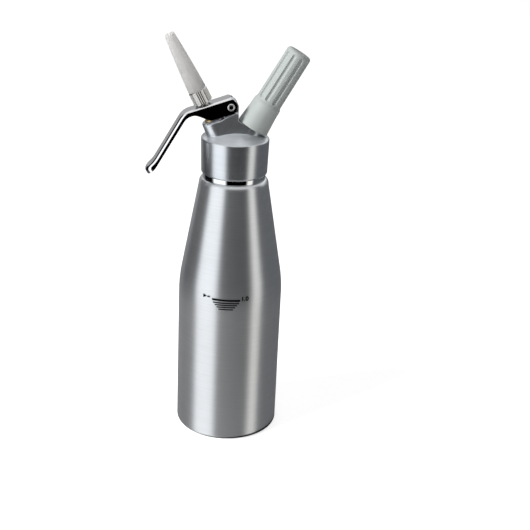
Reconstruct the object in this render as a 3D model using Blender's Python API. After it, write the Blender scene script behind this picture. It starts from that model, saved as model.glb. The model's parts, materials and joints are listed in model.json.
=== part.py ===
"""Whipped cream dispenser: aluminium bottle, screwed head, lever valve and gas charger holder.

World frame: the origin is the centre of the bottle's underside, +Z up the bottle. The nozzle leans
towards -X and the gas charger towards +X, both in the XZ plane. Each leaning axis has an empty whose
local +Z runs outward along it, and the pieces on it are measured from there. The lever hangs on a
third empty at its pivot, whose local XY plane is parallel to the lever's plate.
"""

import math

import bmesh
import bpy

MM = 0.001

# Clearance between neighbouring pieces, and how far cutters overrun a surface
FIT = 0.3 * MM
OVERRUN = 1.0 * MM
WELD = 0.001 * MM

# Facets of the turned pieces
BOTTLE_SIDES = 40
HEAD_SIDES = 40
SMALL_SIDES = 20
TINY_SIDES = 12
SMOOTH_ANGLE = math.radians(35)

# Bottle
BOTTLE_RADIUS = 49.5 * MM
BOTTLE_WALL = 1.8 * MM
BOTTLE_FLOOR = 3.0 * MM
FOOT_ROUND = 4.0 * MM
BARREL_HEIGHT = 151.5 * MM
CONE_HEIGHT = 96.0 * MM
CONE_TOP_RADIUS = 32.7 * MM
CONE_BLEND_RADIUS = 150.0 * MM
SHOULDER_HEIGHT = 6.5 * MM
RING_RADIUS = 29.3 * MM
RING_HEIGHT = 4.8 * MM
NECK_ROOT_RADIUS = 26.0 * MM
NECK_BORE_RADIUS = 22.5 * MM
NECK_LENGTH = 20.2 * MM
BLEND_STEPS = 3

# Screw thread between bottle and head
NECK_PITCH = 5.0 * MM
NECK_TURNS = 2.3
NECK_THREAD_DEPTH = 1.2 * MM
NECK_THREAD_PLAY = 0.5 * MM
NECK_THREAD_RISE = 4.2 * MM

# Shape of every thread's ridge, as shares of its pitch, and its run-outs
RIDGE_BASE_SHARE = 0.44
RIDGE_CREST_SHARE = 0.2
RIDGE_BURY_SHARE = 0.1
RUN_OUT_TURNS = 0.2
THREAD_PHASE = math.radians(4)
THREAD_STEPS = 20
STEM_THREAD_STEPS = 10

# Head cap
SKIRT_GAP = 0.4 * MM
SKIRT_FOOT_RADIUS = 30.7 * MM
SKIRT_TOP_RADIUS = 31.5 * MM
SKIRT_HEIGHT = 31.4 * MM
SKIRT_FOOT_ROUND = 1.0 * MM
SKIRT_TOP_ROUND = 1.8 * MM
DOME_RISE = 5.6 * MM
DOME_STEPS = 5
CEILING_RISE = 3.0 * MM
CEILING_RADIUS = 21.5 * MM
HEAD_GASKET_THICKNESS = 2.4 * MM

# Nozzle axis: its lean, and where the adapter's lower face lies on it, from the foot of the dome
NOZZLE_LEAN = math.radians(27.4)
NOZZLE_SEAT_X = -29.9 * MM
NOZZLE_SEAT_RISE = 31.5 * MM

# Charger axis: its lean, and where the holder's mouth lies on it, from the foot of the dome
CHARGER_LEAN = math.radians(30.2)
HOLDER_SEAT_X = 15.7 * MM
HOLDER_SEAT_RISE = 8.9 * MM

# Head block: nozzle boss, charger boss and the web and ear between them
BOSS_TOP_DROP = 16.8 * MM
BOSS_TOP_RADIUS = 10.1 * MM
BOSS_FOOT_RADIUS = 11.3 * MM
BOSS_TAPER = 13.0 * MM
BOSS_LIP_ROUND = 1.5 * MM
BOSS_DEPTH = 21.0 * MM
CHARGER_BOSS_RADIUS = 10.4 * MM
CHARGER_BOSS_DEPTH = 12.0 * MM
HOLDER_GAP = 0.4 * MM
BLOCK_THICKNESS = 19.4 * MM
WEB_SHOULDER_REACH = 14.6 * MM
WEB_SHOULDER_RISE = 1.7 * MM
WEB_CORNER_ROUND = 3.2 * MM
EAR_RADIUS = 6.8 * MM
EAR_AHEAD = 0.5 * MM
EAR_DROP = 0.6 * MM
EAR_STEPS = 12
LEDGE_CLEARANCE = 0.5 * MM

# Lever pivot, from the foot of the dome, and travel
PIVOT_X = -5.7 * MM
PIVOT_RISE = 29.4 * MM
LEVER_SLOPE = math.radians(18.6)
LEVER_TRAVEL = math.radians(6.0)

# Lever: a pressed channel, measured along and above its plate from the pivot
LEVER_WIDTH = 18.4 * MM
LEVER_SHEET = 1.2 * MM
CHEEK_CLEARANCE = 0.4 * MM
LEVER_EDGE_ROUND = 2.2 * MM
LEVER_START = 9.0 * MM
PLATE_RISE = 8.05 * MM
CHEEK_DROP = 6.4 * MM
CHEEK_END_RISE = 8.6 * MM
CHEEK_END_BACK = 0.7 * MM
CHEEK_STRAIGHT = 18.5 * MM
CHEEK_CURVE = 16.9 * MM
BEND_START = 36.8 * MM
BEND_RADIUS = 16.0 * MM
BEND_ANGLE = math.radians(41.3)
BEND_DEPTH = 3.9 * MM
HANDLE_LENGTH = 41.1 * MM
HANDLE_FLARE = 12.0 * MM
HANDLE_DEPTH = 6.0 * MM
FLICK_RADIUS = 30.0 * MM
FLICK_ANGLE = math.radians(29.0)
TIP_LENGTH = 9.0 * MM
TIP_DEPTH = 5.2 * MM
TIP_END_SHARE = 0.97
PLATE_HOLE_RADIUS = 5.6 * MM
PLATE_HOLE_BACK = 0.5 * MM
CORNER_STEPS = 2
CHEEK_STEPS = 8
BEND_STEPS = 5
FLICK_STEPS = 4
TIP_STEPS = 6
HOLLOW_STATION_SHARE = 0.35
SIDE_STATION_SHARE = 0.65

# Hollow rivet through the cheeks and the ear
RIVET_RADIUS = 2.6 * MM
RIVET_BORE_RADIUS = 1.9 * MM
RIVET_HEAD_RADIUS = 3.6 * MM
RIVET_HEAD_THICKNESS = 0.9 * MM

# Piston: tube, collar, land with an O-ring groove, ports and seal stem
PISTON_RADIUS = 4.0 * MM
PISTON_BORE_RADIUS = 2.4 * MM
PISTON_PROUD = 0.6 * MM
PISTON_PLAY = 0.4 * MM
COLLAR_RADIUS = 6.2 * MM
COLLAR_THICKNESS = 2.6 * MM
COLLAR_CLEARANCE = 0.45 * MM
LAND_RADIUS = 5.0 * MM
LAND_GAP = 0.6 * MM
LAND_LIP = 1.0 * MM
GROOVE_WIDTH = 2.3 * MM
GROOVE_DEPTH = 1.6 * MM
PORT_RADIUS = 1.2 * MM
PORT_BODY_RISE = 1.6 * MM
STEM_RADIUS = 2.2 * MM
STEM_PROUD = 0.4 * MM
O_RING_SECTION = 1.45 * MM
O_RING_STEPS = 8
STEM_PITCH = 1.8 * MM
STEM_TURNS = 2.2
STEM_THREAD_DEPTH = 0.5 * MM
STEM_THREAD_RISE = 1.3 * MM

# Gland nut in the nozzle boss
GLAND_HEAD_RADIUS = 6.6 * MM
GLAND_HEAD_THICKNESS = 3.7 * MM
GLAND_PROUD = 1.0 * MM
GLAND_RADIUS = 5.9 * MM
GLAND_LENGTH = 14.2 * MM
GLAND_SLOT_DEPTH = 1.1 * MM
GLAND_SLOT_WIDTH = 2.0 * MM

# Return spring between the gland nut and the piston's collar
SPRING_RADIUS = 5.15 * MM
SPRING_WIRE_RADIUS = 0.45 * MM
SPRING_CURLS = 3
SPRING_END_CURLS = 0.7
SPRING_END_GAP = 0.48 * MM
SPRING_POINTS_PER_CURL = 10

# Cream valve under the head
SEAT_DROP = 40.0 * MM
SEAT_POCKET_RADIUS = 8.2 * MM
SEAL_RADIUS = 6.5 * MM
SEAL_THICKNESS = 2.2 * MM
SEAL_NUT_RADIUS = 3.9 * MM
SEAL_NUT_THICKNESS = 2.4 * MM
NUT_FACES = 6

# Nozzle adapter, a knurled nut on the piston, with its washer
ADAPTER_RADIUS = 8.8 * MM
ADAPTER_HEIGHT = 13.2 * MM
ADAPTER_CHAMFER = 0.6 * MM
ADAPTER_FLOOR = 7.0 * MM
ADAPTER_WALL = 1.4 * MM
KNURL_COUNT = 30
KNURL_DEPTH = 0.35 * MM
WASHER_BORE_RADIUS = 4.6 * MM
WASHER_THICKNESS = 1.2 * MM

# Nozzle
NOZZLE_LENGTH = 69.4 * MM
NOZZLE_BASE_RADIUS = 8.4 * MM
NOZZLE_BASE_LIP = 1.2 * MM
NOZZLE_NECK_RADIUS = 4.6 * MM
NOZZLE_TIP_RADIUS = 3.85 * MM
NOZZLE_TIP_LENGTH = 5.9 * MM
NOZZLE_WALL = 1.3 * MM
NOZZLE_TEETH = 8
NOTCH_DEPTH = 4.0 * MM
NOTCH_WIDTH = 1.3 * MM
NOTCH_PHASE = math.radians(4)

# Charger holder
HOLDER_LENGTH = 80.3 * MM
HOLDER_MOUTH_RADIUS = 15.0 * MM
HOLDER_MOUTH_ROUND = 0.8 * MM
HOLDER_SKIRT_RADIUS = 13.6 * MM
HOLDER_SKIRT_HEIGHT = 17.0 * MM
HOLDER_SHOULDER_RADIUS = 13.4 * MM
HOLDER_SHOULDER_HEIGHT = 25.0 * MM
HOLDER_SHOULDER_ROUND = 3.0 * MM
HOLDER_GRIP_RADIUS = 12.2 * MM
HOLDER_END_RADIUS = 12.0 * MM
HOLDER_END_ROUND = 3.0 * MM
HOLDER_BORE_PLAY = 0.5 * MM
HOLDER_THREAD_PLAY = 0.4 * MM
HOLDER_THREAD_LENGTH = 14.2 * MM
FLUTE_COUNT = 10
FLUTE_PHASE = math.radians(22)
FLUTE_CUTTER_RADIUS = 2.4 * MM
FLUTE_DEPTH = 1.15 * MM
FLUTE_START_GAP = 0.4 * MM
FLUTE_END_GAP = 3.6 * MM
FLUTE_SIDES = 10

# Threaded stub on the head that carries the holder
STUB_ROOT_RADIUS = 9.6 * MM
STUB_HEIGHT = 13.0 * MM
STUB_CHAMFER = 0.8 * MM
STUB_PITCH = 3.0 * MM
STUB_TURNS = 2.3
STUB_THREAD_DEPTH = 1.0 * MM
STUB_THREAD_RISE = 2.0 * MM
STUB_BORE_RADIUS = 5.3 * MM
GAS_PASSAGE_RADIUS = 2.5 * MM

# Gas charger: a steel capsule of the common eight gram size
CHARGER_LENGTH = 66.0 * MM
CHARGER_RADIUS = 9.3 * MM
CHARGER_NECK_RADIUS = 4.3 * MM
CHARGER_NECK_LENGTH = 9.0 * MM
CHARGER_SHOULDER = 13.0 * MM
CHARGER_WALL = 1.2 * MM
CHARGER_PIERCING_RADIUS = 1.6 * MM
CHARGER_STEPS = 4

# Gas valve in the stub
VALVE_DEPTH = 14.0 * MM
VALVE_TOP = 8.0 * MM
VALVE_CAVITY_RADIUS = 3.2 * MM
VALVE_CAVITY_TOP = 1.0 * MM
VALVE_THROAT_RADIUS = 1.4 * MM
PIN_ROOM_DEPTH = 2.0 * MM
PIN_FLANGE_RADIUS = 3.4 * MM
PIN_FLANGE_THICKNESS = 1.2 * MM
PIN_RADIUS = 0.8 * MM
PIN_REACH = 1.4 * MM
PIN_TIP_LENGTH = 2.2 * MM
PIN_VENT_RADIUS = 0.6 * MM
CHARGER_GASKET_THICKNESS = 2.4 * MM
CHARGER_GASKET_BORE = 1.6 * MM
POPPET_RADIUS = 2.4 * MM
POPPET_THICKNESS = 2.6 * MM
CHECK_SPRING_RADIUS = 1.9 * MM
CHECK_SPRING_WIRE_RADIUS = 0.25 * MM
CHECK_SPRING_CURLS = 3
RETAINER_THICKNESS = 3.0 * MM
RETAINER_BORE_RADIUS = 1.2 * MM

# Heights up the bottle and head
CONE_TOP_Z = BARREL_HEIGHT + CONE_HEIGHT
RING_FOOT_Z = CONE_TOP_Z + SHOULDER_HEIGHT
RING_TOP_Z = RING_FOOT_Z + RING_HEIGHT
RIM_Z = RING_TOP_Z + NECK_LENGTH
SKIRT_FOOT_Z = RING_TOP_Z + SKIRT_GAP
SKIRT_TOP_Z = SKIRT_FOOT_Z + SKIRT_HEIGHT
DOME_FOOT_Z = SKIRT_TOP_Z + SKIRT_TOP_ROUND
HEAD_SEAT_Z = RIM_Z + FIT + HEAD_GASKET_THICKNESS + FIT
CEILING_Z = HEAD_SEAT_Z + CEILING_RISE
WEB_FOOT_Z = (CEILING_Z + DOME_FOOT_Z + DOME_RISE) / 2
NOZZLE_SEAT_Z = DOME_FOOT_Z + NOZZLE_SEAT_RISE
HOLDER_SEAT_Z = DOME_FOOT_Z + HOLDER_SEAT_RISE
PIVOT_Z = DOME_FOOT_Z + PIVOT_RISE

# Radii of the neck thread
NECK_CREST_RADIUS = NECK_ROOT_RADIUS + NECK_THREAD_DEPTH
HEAD_ROOT_RADIUS = NECK_CREST_RADIUS + NECK_THREAD_PLAY
HEAD_CREST_RADIUS = NECK_ROOT_RADIUS + NECK_THREAD_PLAY
NECK_THREAD_Z = RING_TOP_Z + NECK_THREAD_RISE

# Half widths across the block, its ear and the lever
BLOCK_HALF = BLOCK_THICKNESS / 2
LEVER_HALF = LEVER_WIDTH / 2
EAR_HALF = LEVER_HALF - LEVER_SHEET - CHEEK_CLEARANCE

# The lever's plate seen from the nozzle axis
PLATE_TILT = NOZZLE_LEAN - LEVER_SLOPE
SEAT_AHEAD = (NOZZLE_SEAT_X - PIVOT_X) * math.cos(LEVER_SLOPE) + (NOZZLE_SEAT_Z - PIVOT_Z) * math.sin(LEVER_SLOPE)
SEAT_ABOVE = (NOZZLE_SEAT_Z - PIVOT_Z) * math.cos(LEVER_SLOPE) - (NOZZLE_SEAT_X - PIVOT_X) * math.sin(LEVER_SLOPE)
PLATE_CROSSING = (PLATE_RISE - SEAT_ABOVE) / math.cos(PLATE_TILT)
PLATE_HOLE_X = SEAT_AHEAD - PLATE_CROSSING * math.sin(PLATE_TILT) + PLATE_HOLE_BACK
UNDERSIDE_CROSSING = PLATE_CROSSING - LEVER_SHEET / math.cos(PLATE_TILT)

# Heights along the nozzle axis, from the top down
COLLAR_TOP = UNDERSIDE_CROSSING - COLLAR_RADIUS * math.tan(PLATE_TILT) - COLLAR_CLEARANCE
COLLAR_FOOT = COLLAR_TOP - COLLAR_THICKNESS
BOSS_TOP = -BOSS_TOP_DROP
GLAND_TOP = BOSS_TOP + GLAND_PROUD
GLAND_HEAD_FOOT = GLAND_TOP - GLAND_HEAD_THICKNESS
GLAND_FOOT = GLAND_TOP - GLAND_LENGTH
LAND_TOP = GLAND_FOOT - LAND_GAP
GROOVE_TOP = LAND_TOP - LAND_LIP
GROOVE_FOOT = GROOVE_TOP - GROOVE_WIDTH
LAND_FOOT = GROOVE_FOOT - LAND_LIP
SEAT = -SEAT_DROP
PORT_BODY_FOOT = SEAT + PORT_BODY_RISE
PORT_HEIGHT = (LAND_FOOT + PORT_BODY_FOOT) / 2
SEAL_TOP = SEAT - FIT
SEAL_FOOT = SEAL_TOP - SEAL_THICKNESS
SEAL_NUT_TOP = SEAL_FOOT - FIT
SEAL_NUT_FOOT = SEAL_NUT_TOP - SEAL_NUT_THICKNESS
WASHER_FOOT = ADAPTER_FLOOR + FIT
SHANK_FOOT = WASHER_FOOT + WASHER_THICKNESS + FIT
NOZZLE_FOOT = ADAPTER_HEIGHT + FIT

# Radii on the nozzle axis
VALVE_BORE_RADIUS = LAND_RADIUS + PISTON_PLAY
CUP_RADIUS = ADAPTER_RADIUS - ADAPTER_WALL
STEM_THREAD_ROOT = PISTON_RADIUS - STEM_THREAD_DEPTH
ADAPTER_THREAD_ROOT = PISTON_RADIUS + FIT

# Heights and radii on the charger axis
VALVE_FOOT = -VALVE_DEPTH
PIN_SEAT = VALVE_TOP - PIN_ROOM_DEPTH
CHARGER_GASKET_FOOT = VALVE_TOP + FIT
CHARGER_TIP = CHARGER_GASKET_FOOT + CHARGER_GASKET_THICKNESS + FIT
CHARGER_END = CHARGER_TIP + CHARGER_LENGTH
HOLDER_BORE_RADIUS = CHARGER_RADIUS + HOLDER_BORE_PLAY
STUB_CREST_RADIUS = STUB_ROOT_RADIUS + STUB_THREAD_DEPTH
HOLDER_THREAD_ROOT = STUB_CREST_RADIUS + HOLDER_THREAD_PLAY
HOLDER_THREAD_CREST = STUB_ROOT_RADIUS + HOLDER_THREAD_PLAY
VALVE_BODY_RADIUS = STUB_BORE_RADIUS - FIT
GRIP_START = HOLDER_SHOULDER_HEIGHT + HOLDER_SHOULDER_ROUND


def clear_scene():
    """Empties the scene that the script starts from."""
    for obj in list(bpy.data.objects):
        bpy.data.objects.remove(obj)


def material(name, colour, roughness, metallic, transmission=0.0):
    """A plain Principled material."""
    mat = bpy.data.materials.new(name)
    mat.use_nodes = True
    shader = mat.node_tree.nodes["Principled BSDF"]
    shader.inputs["Base Color"].default_value = (*colour, 1.0)
    shader.inputs["Roughness"].default_value = roughness
    shader.inputs["Metallic"].default_value = metallic
    shader.inputs["Transmission Weight"].default_value = transmission
    mat.diffuse_color = (*colour, 1.0)
    return mat


def axis_empty(name, x, z, lean):
    """A guide on the XZ plane, turned about Y, that pieces hang on."""
    guide = bpy.data.objects.new(name, None)
    guide.location = (x, 0, z)
    guide.rotation_euler = (0, lean, 0)
    guide.empty_display_size = OVERRUN
    bpy.context.scene.collection.objects.link(guide)
    return guide


def add_object(name, bm, mat=None, parent=None):
    """Turns a bmesh into a smooth-shaded object on its parent's axis."""
    bmesh.ops.recalc_face_normals(bm, faces=bm.faces)
    mesh = bpy.data.meshes.new(name)
    bm.to_mesh(mesh)
    bm.free()
    mesh.shade_smooth()
    mesh.set_sharp_from_angle(angle=SMOOTH_ANGLE)
    if mat is not None:
        mesh.materials.append(mat)
    obj = bpy.data.objects.new(name, mesh)
    bpy.context.scene.collection.objects.link(obj)
    obj.parent = parent
    return obj


def boolean(target, operation, tool):
    """Adds one exact Boolean to an object and keeps the tool as a hidden guide."""
    tool.hide_render = True
    tool.display_type = 'WIRE'
    step = target.modifiers.new(tool.name, 'BOOLEAN')
    step.operation = operation
    step.solver = 'EXACT'
    step.object = tool


def lathe(profile, sides, ring=False):
    """Turns a profile of (radius, height) points about local Z.

    A ring's profile closes on itself. Any other profile gets a flat cap at each end off the axis.
    """
    bm = bmesh.new()
    points = [bm.verts.new((radius, 0, height)) for radius, height in profile]
    pairs = list(zip(points, points[1:]))
    if ring:
        pairs.append((points[-1], points[0]))
    edges = [bm.edges.new(pair) for pair in pairs]
    bmesh.ops.spin(bm, geom=points + edges, cent=(0, 0, 0), axis=(0, 0, 1),
                   angle=2 * math.pi, steps=sides, use_merge=True)
    bmesh.ops.remove_doubles(bm, verts=bm.verts, dist=WELD)
    rims = [edge for edge in bm.edges if edge.is_boundary]
    if rims:
        bmesh.ops.edgeloop_fill(bm, edges=rims)
    return bm


def turned(name, profile, sides, mat=None, parent=None):
    """A turned solid."""
    return add_object(name, lathe(profile, sides), mat, parent)


def tube(name, inner, outer, low, high, sides, mat=None, parent=None):
    """A plain ring or tube between two heights."""
    profile = [(inner, low), (outer, low), (outer, high), (inner, high)]
    return add_object(name, lathe(profile, sides, True), mat, parent)


def rod(name, radius, low, high, sides, mat=None, parent=None):
    """A plain round bar between two heights."""
    return turned(name, [(radius, low), (radius, high)], sides, mat, parent)


def across(obj):
    """Turns a bar from its parent's Z to its parent's Y."""
    obj.rotation_euler = (math.pi / 2, 0, 0)
    return obj


def prism(name, outline, half, mat=None, parent=None):
    """An outline in the XZ plane, carried the same way to each side along Y."""
    bm = bmesh.new()
    face = bm.faces.new([bm.verts.new((x, -half, z)) for x, z in outline])
    grown = bmesh.ops.extrude_face_region(bm, geom=[face])
    moved = [item for item in grown["geom"] if isinstance(item, bmesh.types.BMVert)]
    bmesh.ops.translate(bm, verts=moved, vec=(0, half + half, 0))
    return add_object(name, bm, mat, parent)


def loft(sections):
    """Skins a row of closed sections with equal point counts, and caps both ends."""
    bm = bmesh.new()
    rings = [[bm.verts.new(point) for point in section] for section in sections]
    count = len(rings[0])
    for near, far in zip(rings, rings[1:]):
        for i in range(count):
            j = (i + 1) % count
            bm.faces.new((near[i], near[j], far[j], far[i]))
    bm.faces.new(rings[0])
    bm.faces.new(list(reversed(rings[-1])))
    return bm


def thread(name, wall, crest, pitch, turns, start, parent=None, steps=THREAD_STEPS):
    """A right-hand thread ridge on a wall, with run-outs that sink back into it.

    The crest is wider than the wall on an outside thread, and narrower on an inside one.
    """
    side = 1 if crest > wall else -1
    root = wall - side * pitch * RIDGE_BURY_SHARE
    buried_share = (wall - root) / (crest - root) / 2
    base = pitch * RIDGE_BASE_SHARE
    top = pitch * RIDGE_CREST_SHARE
    total = round(turns * steps)
    sections = []
    for i in range(total + 1):
        turn = i / steps
        share = max(buried_share, min(1.0, turn / RUN_OUT_TURNS, (turns - turn) / RUN_OUT_TURNS))
        edge = root + (crest - root) * share
        angle = THREAD_PHASE + turn * 2 * math.pi
        height = start + turn * pitch
        corners = ((root, -base / 2), (edge, -top / 2), (edge, top / 2), (root, base / 2))
        sections.append([(radius * math.cos(angle), radius * math.sin(angle), height + rise)
                         for radius, rise in corners])
    return add_object(name, loft(sections), None, parent)


def arc(centre, radii, start, end, steps):
    """Points along part of an ellipse."""
    points = []
    for i in range(steps + 1):
        angle = start + (end - start) * i / steps
        points.append((centre[0] + radii[0] * math.cos(angle), centre[1] + radii[1] * math.sin(angle)))
    return points


def eased(share):
    """A smooth step from 0 to 1."""
    return share * share * (3 - 2 * share)


def stepped(value, marks):
    """Straight-line value between neighbouring (place, value) marks."""
    for (near, low), (far, high) in zip(marks, marks[1:]):
        if value <= far:
            return low + (high - low) * (value - near) / (far - near)
    return marks[-1][1]


def rounded(before, corner, after, radius, steps):
    """Points of the arc that rounds a corner of an outline."""
    arms = []
    for end in (before, after):
        run = math.dist(end, corner)
        arms.append(((end[0] - corner[0]) / run, (end[1] - corner[1]) / run))
    half = math.acos(arms[0][0] * arms[1][0] + arms[0][1] * arms[1][1]) / 2
    reach = radius / math.tan(half)
    middle = radius / math.sin(half)
    bisector = (arms[0][0] + arms[1][0], arms[0][1] + arms[1][1])
    size = math.hypot(*bisector)
    centre = (corner[0] + bisector[0] / size * middle, corner[1] + bisector[1] / size * middle)
    ends = [(corner[0] + arm[0] * reach, corner[1] + arm[1] * reach) for arm in arms]
    angles = [math.atan2(end[1] - centre[1], end[0] - centre[0]) for end in ends]
    turn = (angles[1] - angles[0] + math.pi) % (2 * math.pi) - math.pi
    return arc(centre, (radius, radius), angles[0], angles[0] + turn, steps)


def coil_points(radius, wire, low, high, curls):
    """Centre line of a compression spring: close end coils and an even pitch between them."""
    start = low + FIT + wire
    end = high - FIT - wire
    end_pitch = 2 * wire + SPRING_END_GAP
    total = curls + 2 * SPRING_END_CURLS
    free = end - start - 2 * SPRING_END_CURLS * end_pitch
    points = []
    for i in range(round(total * SPRING_POINTS_PER_CURL) + 1):
        turn = i / SPRING_POINTS_PER_CURL
        opened = min(max(turn - SPRING_END_CURLS, 0), curls)
        height = start + (turn - opened) * end_pitch + opened * free / curls
        angle = turn * 2 * math.pi
        points.append((radius * math.cos(angle), radius * math.sin(angle), height))
    return points


def coil(name, radius, wire, low, high, curls, mat, parent):
    """One unbroken spring wire between two faces, and its least gap to itself."""
    points = coil_points(radius, wire, low, high, curls)
    least = min(math.dist(point, other) for i, point in enumerate(points)
                for other in points[i + SPRING_POINTS_PER_CURL // 2:])
    print(name, "least gap to itself, mm:", round((least - 2 * wire) / MM, 3))
    curve = bpy.data.curves.new(name, 'CURVE')
    curve.dimensions = '3D'
    curve.bevel_depth = wire
    curve.bevel_resolution = 1
    curve.use_fill_caps = True
    line = curve.splines.new('POLY')
    line.points.add(len(points) - 1)
    for spot, place in zip(line.points, points):
        spot.co = (*place, 1)
    curve.materials.append(mat)
    obj = bpy.data.objects.new(name, curve)
    bpy.context.scene.collection.objects.link(obj)
    obj.parent = parent


def nozzle_point(aside, up):
    """World X and Z of a place measured aside from and up the nozzle axis."""
    x = NOZZLE_SEAT_X + aside * math.cos(NOZZLE_LEAN) - up * math.sin(NOZZLE_LEAN)
    z = NOZZLE_SEAT_Z + aside * math.sin(NOZZLE_LEAN) + up * math.cos(NOZZLE_LEAN)
    return x, z


def charger_point(aside, up):
    """World X and Z of a place measured aside from and up the charger axis."""
    x = HOLDER_SEAT_X + aside * math.cos(CHARGER_LEAN) + up * math.sin(CHARGER_LEAN)
    z = HOLDER_SEAT_Z - aside * math.sin(CHARGER_LEAN) + up * math.cos(CHARGER_LEAN)
    return x, z


def squeezed_point(ahead, above):
    """World X and Z of a place measured from the pivot along the squeezed lever's plate."""
    slope = LEVER_SLOPE + LEVER_TRAVEL
    x = PIVOT_X + ahead * math.cos(slope) - above * math.sin(slope)
    z = PIVOT_Z + ahead * math.sin(slope) + above * math.cos(slope)
    return x, z


def at_height(point, other, z):
    """Where the line through two points crosses a height."""
    share = (z - point[1]) / (other[1] - point[1])
    return point[0] + (other[0] - point[0]) * share, z


def at_side(point, other, x):
    """Where the line through two points crosses an upright."""
    share = (x - point[0]) / (other[0] - point[0])
    return x, point[1] + (other[1] - point[1]) * share


def barrel_and_cone(inset):
    """Profile of the barrel's blend and the cone, moved inward by a wall."""
    slope = math.atan2(BOTTLE_RADIUS - CONE_TOP_RADIUS, CONE_HEIGHT)
    reach = CONE_BLEND_RADIUS * math.tan(slope / 2)
    radius = CONE_BLEND_RADIUS - inset
    points = arc((BOTTLE_RADIUS - CONE_BLEND_RADIUS, BARREL_HEIGHT - reach), (radius, radius), 0, slope, BLEND_STEPS)
    points.append((CONE_TOP_RADIUS - inset / math.cos(slope), CONE_TOP_Z))
    return points


def foot_corner(inset, low):
    """Profile of the rounded corner between floor and barrel."""
    radius = FOOT_ROUND - inset
    return arc((BOTTLE_RADIUS - FOOT_ROUND, low + radius), (radius, radius), -math.pi / 2, 0, BLEND_STEPS)


def make_bottle(mat):
    """Bottle: barrel, cone, rounded shoulder, polished ring and threaded neck."""
    outer = foot_corner(0, 0) + barrel_and_cone(0)
    outer += arc((RING_RADIUS, CONE_TOP_Z), (CONE_TOP_RADIUS - RING_RADIUS, SHOULDER_HEIGHT),
                 0, math.pi / 2, BLEND_STEPS)[1:]
    neck = [(RING_RADIUS, RING_TOP_Z), (NECK_ROOT_RADIUS, RING_TOP_Z), (NECK_ROOT_RADIUS, RIM_Z),
            (NECK_BORE_RADIUS, RIM_Z), (NECK_BORE_RADIUS, RING_FOOT_Z)]
    inner = foot_corner(BOTTLE_WALL, BOTTLE_FLOOR) + barrel_and_cone(BOTTLE_WALL)
    bottle = turned("bottle", outer + neck + list(reversed(inner)), BOTTLE_SIDES, mat)
    boolean(bottle, 'UNION', thread("neck_thread", NECK_ROOT_RADIUS, NECK_CREST_RADIUS, NECK_PITCH, NECK_TURNS,
                                    NECK_THREAD_Z))


def cap_profile():
    """Profile of the head's cap: skirt, dome, and the recess inside."""
    edge = SKIRT_TOP_RADIUS - SKIRT_TOP_ROUND
    dome_slope = math.atan2(2 * DOME_RISE, edge)
    outer = [(HEAD_ROOT_RADIUS, SKIRT_FOOT_Z + SKIRT_FOOT_ROUND), (HEAD_ROOT_RADIUS + SKIRT_FOOT_ROUND, SKIRT_FOOT_Z)]
    outer += arc((SKIRT_FOOT_RADIUS - SKIRT_FOOT_ROUND, SKIRT_FOOT_Z + SKIRT_FOOT_ROUND),
                 (SKIRT_FOOT_ROUND, SKIRT_FOOT_ROUND), -math.pi / 2, 0, CORNER_STEPS)
    outer += arc((edge, SKIRT_TOP_Z), (SKIRT_TOP_ROUND, SKIRT_TOP_ROUND), 0, math.pi / 2 - dome_slope, CORNER_STEPS)
    for i in range(1, DOME_STEPS):
        share = 1 - i / DOME_STEPS
        outer.append((edge * share, DOME_FOOT_Z + DOME_RISE * (1 - share * share)))
    inner = [(CEILING_RADIUS, CEILING_Z), (CEILING_RADIUS, HEAD_SEAT_Z), (HEAD_ROOT_RADIUS, HEAD_SEAT_Z)]
    return inner + outer


def block_outline():
    """Outline of the web that joins the two bosses, with the lever's ear on top."""
    ear = (PIVOT_X + EAR_AHEAD, PIVOT_Z - EAR_DROP)
    mouth = charger_point(0, -HOLDER_GAP)
    shoulder = charger_point(-WEB_SHOULDER_REACH, -HOLDER_GAP)
    side = (ear[0] + EAR_RADIUS, shoulder[1] + WEB_SHOULDER_RISE)
    boss_rim = nozzle_point(BOSS_TOP_RADIUS, BOSS_TOP - 2 * BOSS_LIP_ROUND)
    boss_middle = nozzle_point(0, BOSS_TOP - 2 * BOSS_LIP_ROUND)
    outline = [mouth, shoulder, side]
    outline += arc(ear, (EAR_RADIUS, EAR_RADIUS), 0, math.pi, EAR_STEPS)
    outline += [boss_rim, boss_middle, at_height(boss_middle, nozzle_point(0, SEAT), WEB_FOOT_Z),
                at_height(mouth, charger_point(0, VALVE_FOOT), WEB_FOOT_Z)]
    return outline


def ledge_outline():
    """Outline of the milling beside the ear: a ledge parallel to the squeezed lever, rounded at its end."""
    low = -CHEEK_DROP - LEDGE_CLEARANCE
    side_x = PIVOT_X + EAR_AHEAD + EAR_RADIUS
    left = squeezed_point(-BEND_START, low)
    corner = at_side(left, squeezed_point(0, low), side_x)
    bend = rounded(left, corner, (side_x, corner[1] - EAR_RADIUS), WEB_CORNER_ROUND, CORNER_STEPS)
    reach = EAR_RADIUS + WEB_CORNER_ROUND
    return [left] + bend + [(side_x + OVERRUN, bend[-1][1]), squeezed_point(reach, PLATE_RISE),
                            squeezed_point(-BEND_START, PLATE_RISE)]


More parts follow.
